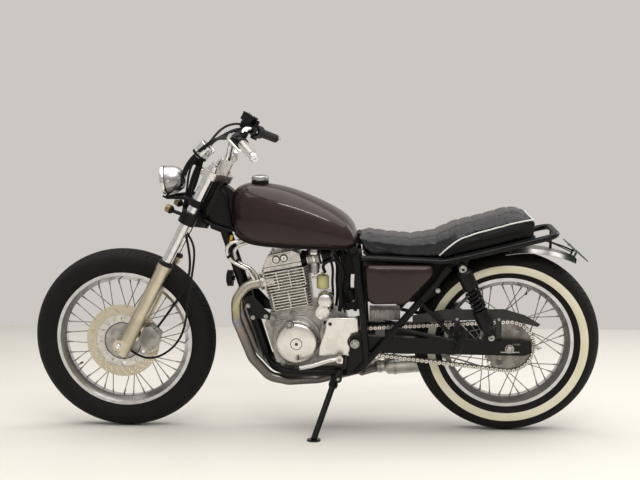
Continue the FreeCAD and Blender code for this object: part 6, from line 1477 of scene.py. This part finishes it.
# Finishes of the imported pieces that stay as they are

NODE_FINISHES = {"front_rim": RIM_CHROME, "rear_rim": RIM_CHROME, "front_hub": CAST, "rear_hub": CAST,
    "front_spokes": SPOKE_STEEL, "rear_spokes": SPOKE_STEEL, "rear_sprocket": SPROCKET_STEEL,
    "front_sprocket": SPROCKET_STEEL, "fork_sliders": SLIDER, "fork_tubes": CHROME, "lower_yoke": BLACK_PAINT,
    "top_yoke": POLISHED, "front_axle": STEEL, "brake_caliper": CASE_ALLOY, "handlebar": CHROME,
    "bar_clamps": POLISHED, "hand_controls": MOULDED, "main_frame": BLACK_PAINT, "rear_frame": BLACK_PAINT,
    "swingarm": BLACK_PAINT, "swingarm_bolt": STEEL, "rear_axle": STEEL, "rear_brake_plate": CAST,
    "crankcase": CASE_ALLOY, "cylinder": BARREL_ALLOY, "carburettors": CAST, "exhaust_headers": HEADER,
    "battery_box": MOULDED, "rear_fender": FENDER_PLATE, "chain_guard": GUARD_GREY, "footrests": BLACK_PAINT,
    "foot_levers": STEEL, "horn": SATIN_BLACK, "number_plate": PLATE_PAINT, "side_stand": BLACK_PAINT}
ROUNDED = {"top_yoke": 4, "lower_yoke": 4, "brake_caliper": 4, "crankcase": 4, "battery_box": 4, "bar_clamps": 2,
    "hand_controls": 2.5, "swingarm": 3, "fork_sliders": 1.5, "cylinder": 0.6, "rear_fender": 0.5,
    "chain_guard": 0.8}

for name, finish in NODE_FINISHES.items():
    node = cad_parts[name]
    for slot in node.material_slots:
        slot.material = finish
    if not node.material_slots:
        node.data.materials.append(finish)
    node.data.shade_smooth()
    node.data.set_sharp_from_angle(angle=radians(28))
    if name in ROUNDED:
        round_edges(node, ROUNDED[name], **NODE_BEVEL)


# Room, light and camera


def slab(name, low, high, finish):
    mesh = bpy.data.meshes.new(name)
    made = bmesh.new()
    bmesh.ops.create_cube(made, size=1)
    for vertex in made.verts:
        vertex.co = [a + (b - a) * (c + 0.5) for a, b, c in zip(low, high, vertex.co)]
    made.to_mesh(mesh)
    made.free()
    mesh.materials.append(finish)
    linked(name, mesh)


FLOOR_END = -3.25


def floor_finish():
    finish = Finish("pale_floor", specular_ior_level=0.35)
    clouds = finish.grain(1.2, 5)
    finish.set(base_color=finish.blend(clouds, (0.84, 0.81, 0.75), (0.80, 0.77, 0.71)),
        roughness=clouds * 0.1 + 0.45)
    finish.bump(finish.grain(120), 0.05, 0.0005)
    return finish.material


slab("floor", (-9, FLOOR_END, -0.04), (9, 9, 0), floor_finish())


def lamp(name, place, toward, size, power, colour):
    light = bpy.data.lights.new(name, "AREA")
    light.shape = "RECTANGLE"
    light.size, light.size_y = size
    light.energy = power
    light.color = colour
    facing = (Vector(toward) - Vector(place)).to_track_quat("-Z", "Y").to_matrix().to_4x4()
    linked(name, light).matrix_world = Matrix.Translation(place) @ facing


lamp("ceiling_light", (0, 0.2, 4.2), (0, -0.4, 0), (7.0, 5.0), 240, (1.0, 0.98, 0.95))
lamp("front_light", (-0.8, 3.8, 4.0), (0, 0, 0.5), (2.6, 0.35), 70, (1.0, 0.99, 0.97))
lamp("rear_light", (-3.4, -1.6, 2.6), (0, 0, 0.5), (2.5, 2.0), 40, (0.96, 0.98, 1.0))


def backdrop():
    """Pale warm background seen directly, and soft grey light all round."""
    world = bpy.data.worlds.new("room")
    bpy.context.scene.world = world
    world.use_nodes = True
    tree = world.node_tree
    path = tree.nodes.new("ShaderNodeLightPath")
    near = tree.nodes["Background"]
    near.inputs["Color"].default_value = (0.80, 0.80, 0.80, 1)
    near.inputs["Strength"].default_value = 0.30
    seen = tree.nodes.new("ShaderNodeBackground")
    seen.inputs["Color"].default_value = (0.60, 0.57, 0.54, 1)
    seen.inputs["Strength"].default_value = 1.0
    mix = tree.nodes.new("ShaderNodeMixShader")
    seen_rays = path.outputs["Is Camera Ray"]
    for kind in ("Is Glossy Ray", "Is Transmission Ray"):
        total = tree.nodes.new("ShaderNodeMath")
        total.use_clamp = True
        tree.links.new(seen_rays, total.inputs[0])
        tree.links.new(path.outputs[kind], total.inputs[1])
        seen_rays = total.outputs[0]
    tree.links.new(seen_rays, mix.inputs[0])
    tree.links.new(near.outputs[0], mix.inputs[1])
    tree.links.new(seen.outputs[0], mix.inputs[2])
    tree.links.new(mix.outputs[0], tree.nodes["World Output"].inputs["Surface"])


backdrop()


CAMERA_AT = (-0.2464, 3.737, 0.835)
CAMERA_TURN = (-3.320, 1.987, -0.038)
CAMERA_LENS = 58.53


def camera():
    """The photograph's camera, fitted to the two wheels."""
    yaw, pitch, roll = (radians(part) for part in CAMERA_TURN)
    look = Vector((-sin(yaw) * cos(pitch), -cos(yaw) * cos(pitch), -sin(pitch)))
    right = Vector((-cos(yaw), sin(yaw), 0))
    up = right.cross(look)
    facing = Matrix((right, up, -look)).transposed().to_4x4()
    lens = bpy.data.cameras.new("camera")
    lens.lens = CAMERA_LENS
    lens.sensor_width = 36
    made = linked("camera", lens)
    made.matrix_world = Matrix.Translation(CAMERA_AT) @ facing @ Matrix.Rotation(roll, 4, "Z")
    bpy.context.scene.camera = made
    bpy.context.scene.view_settings.view_transform = "Standard"


camera()
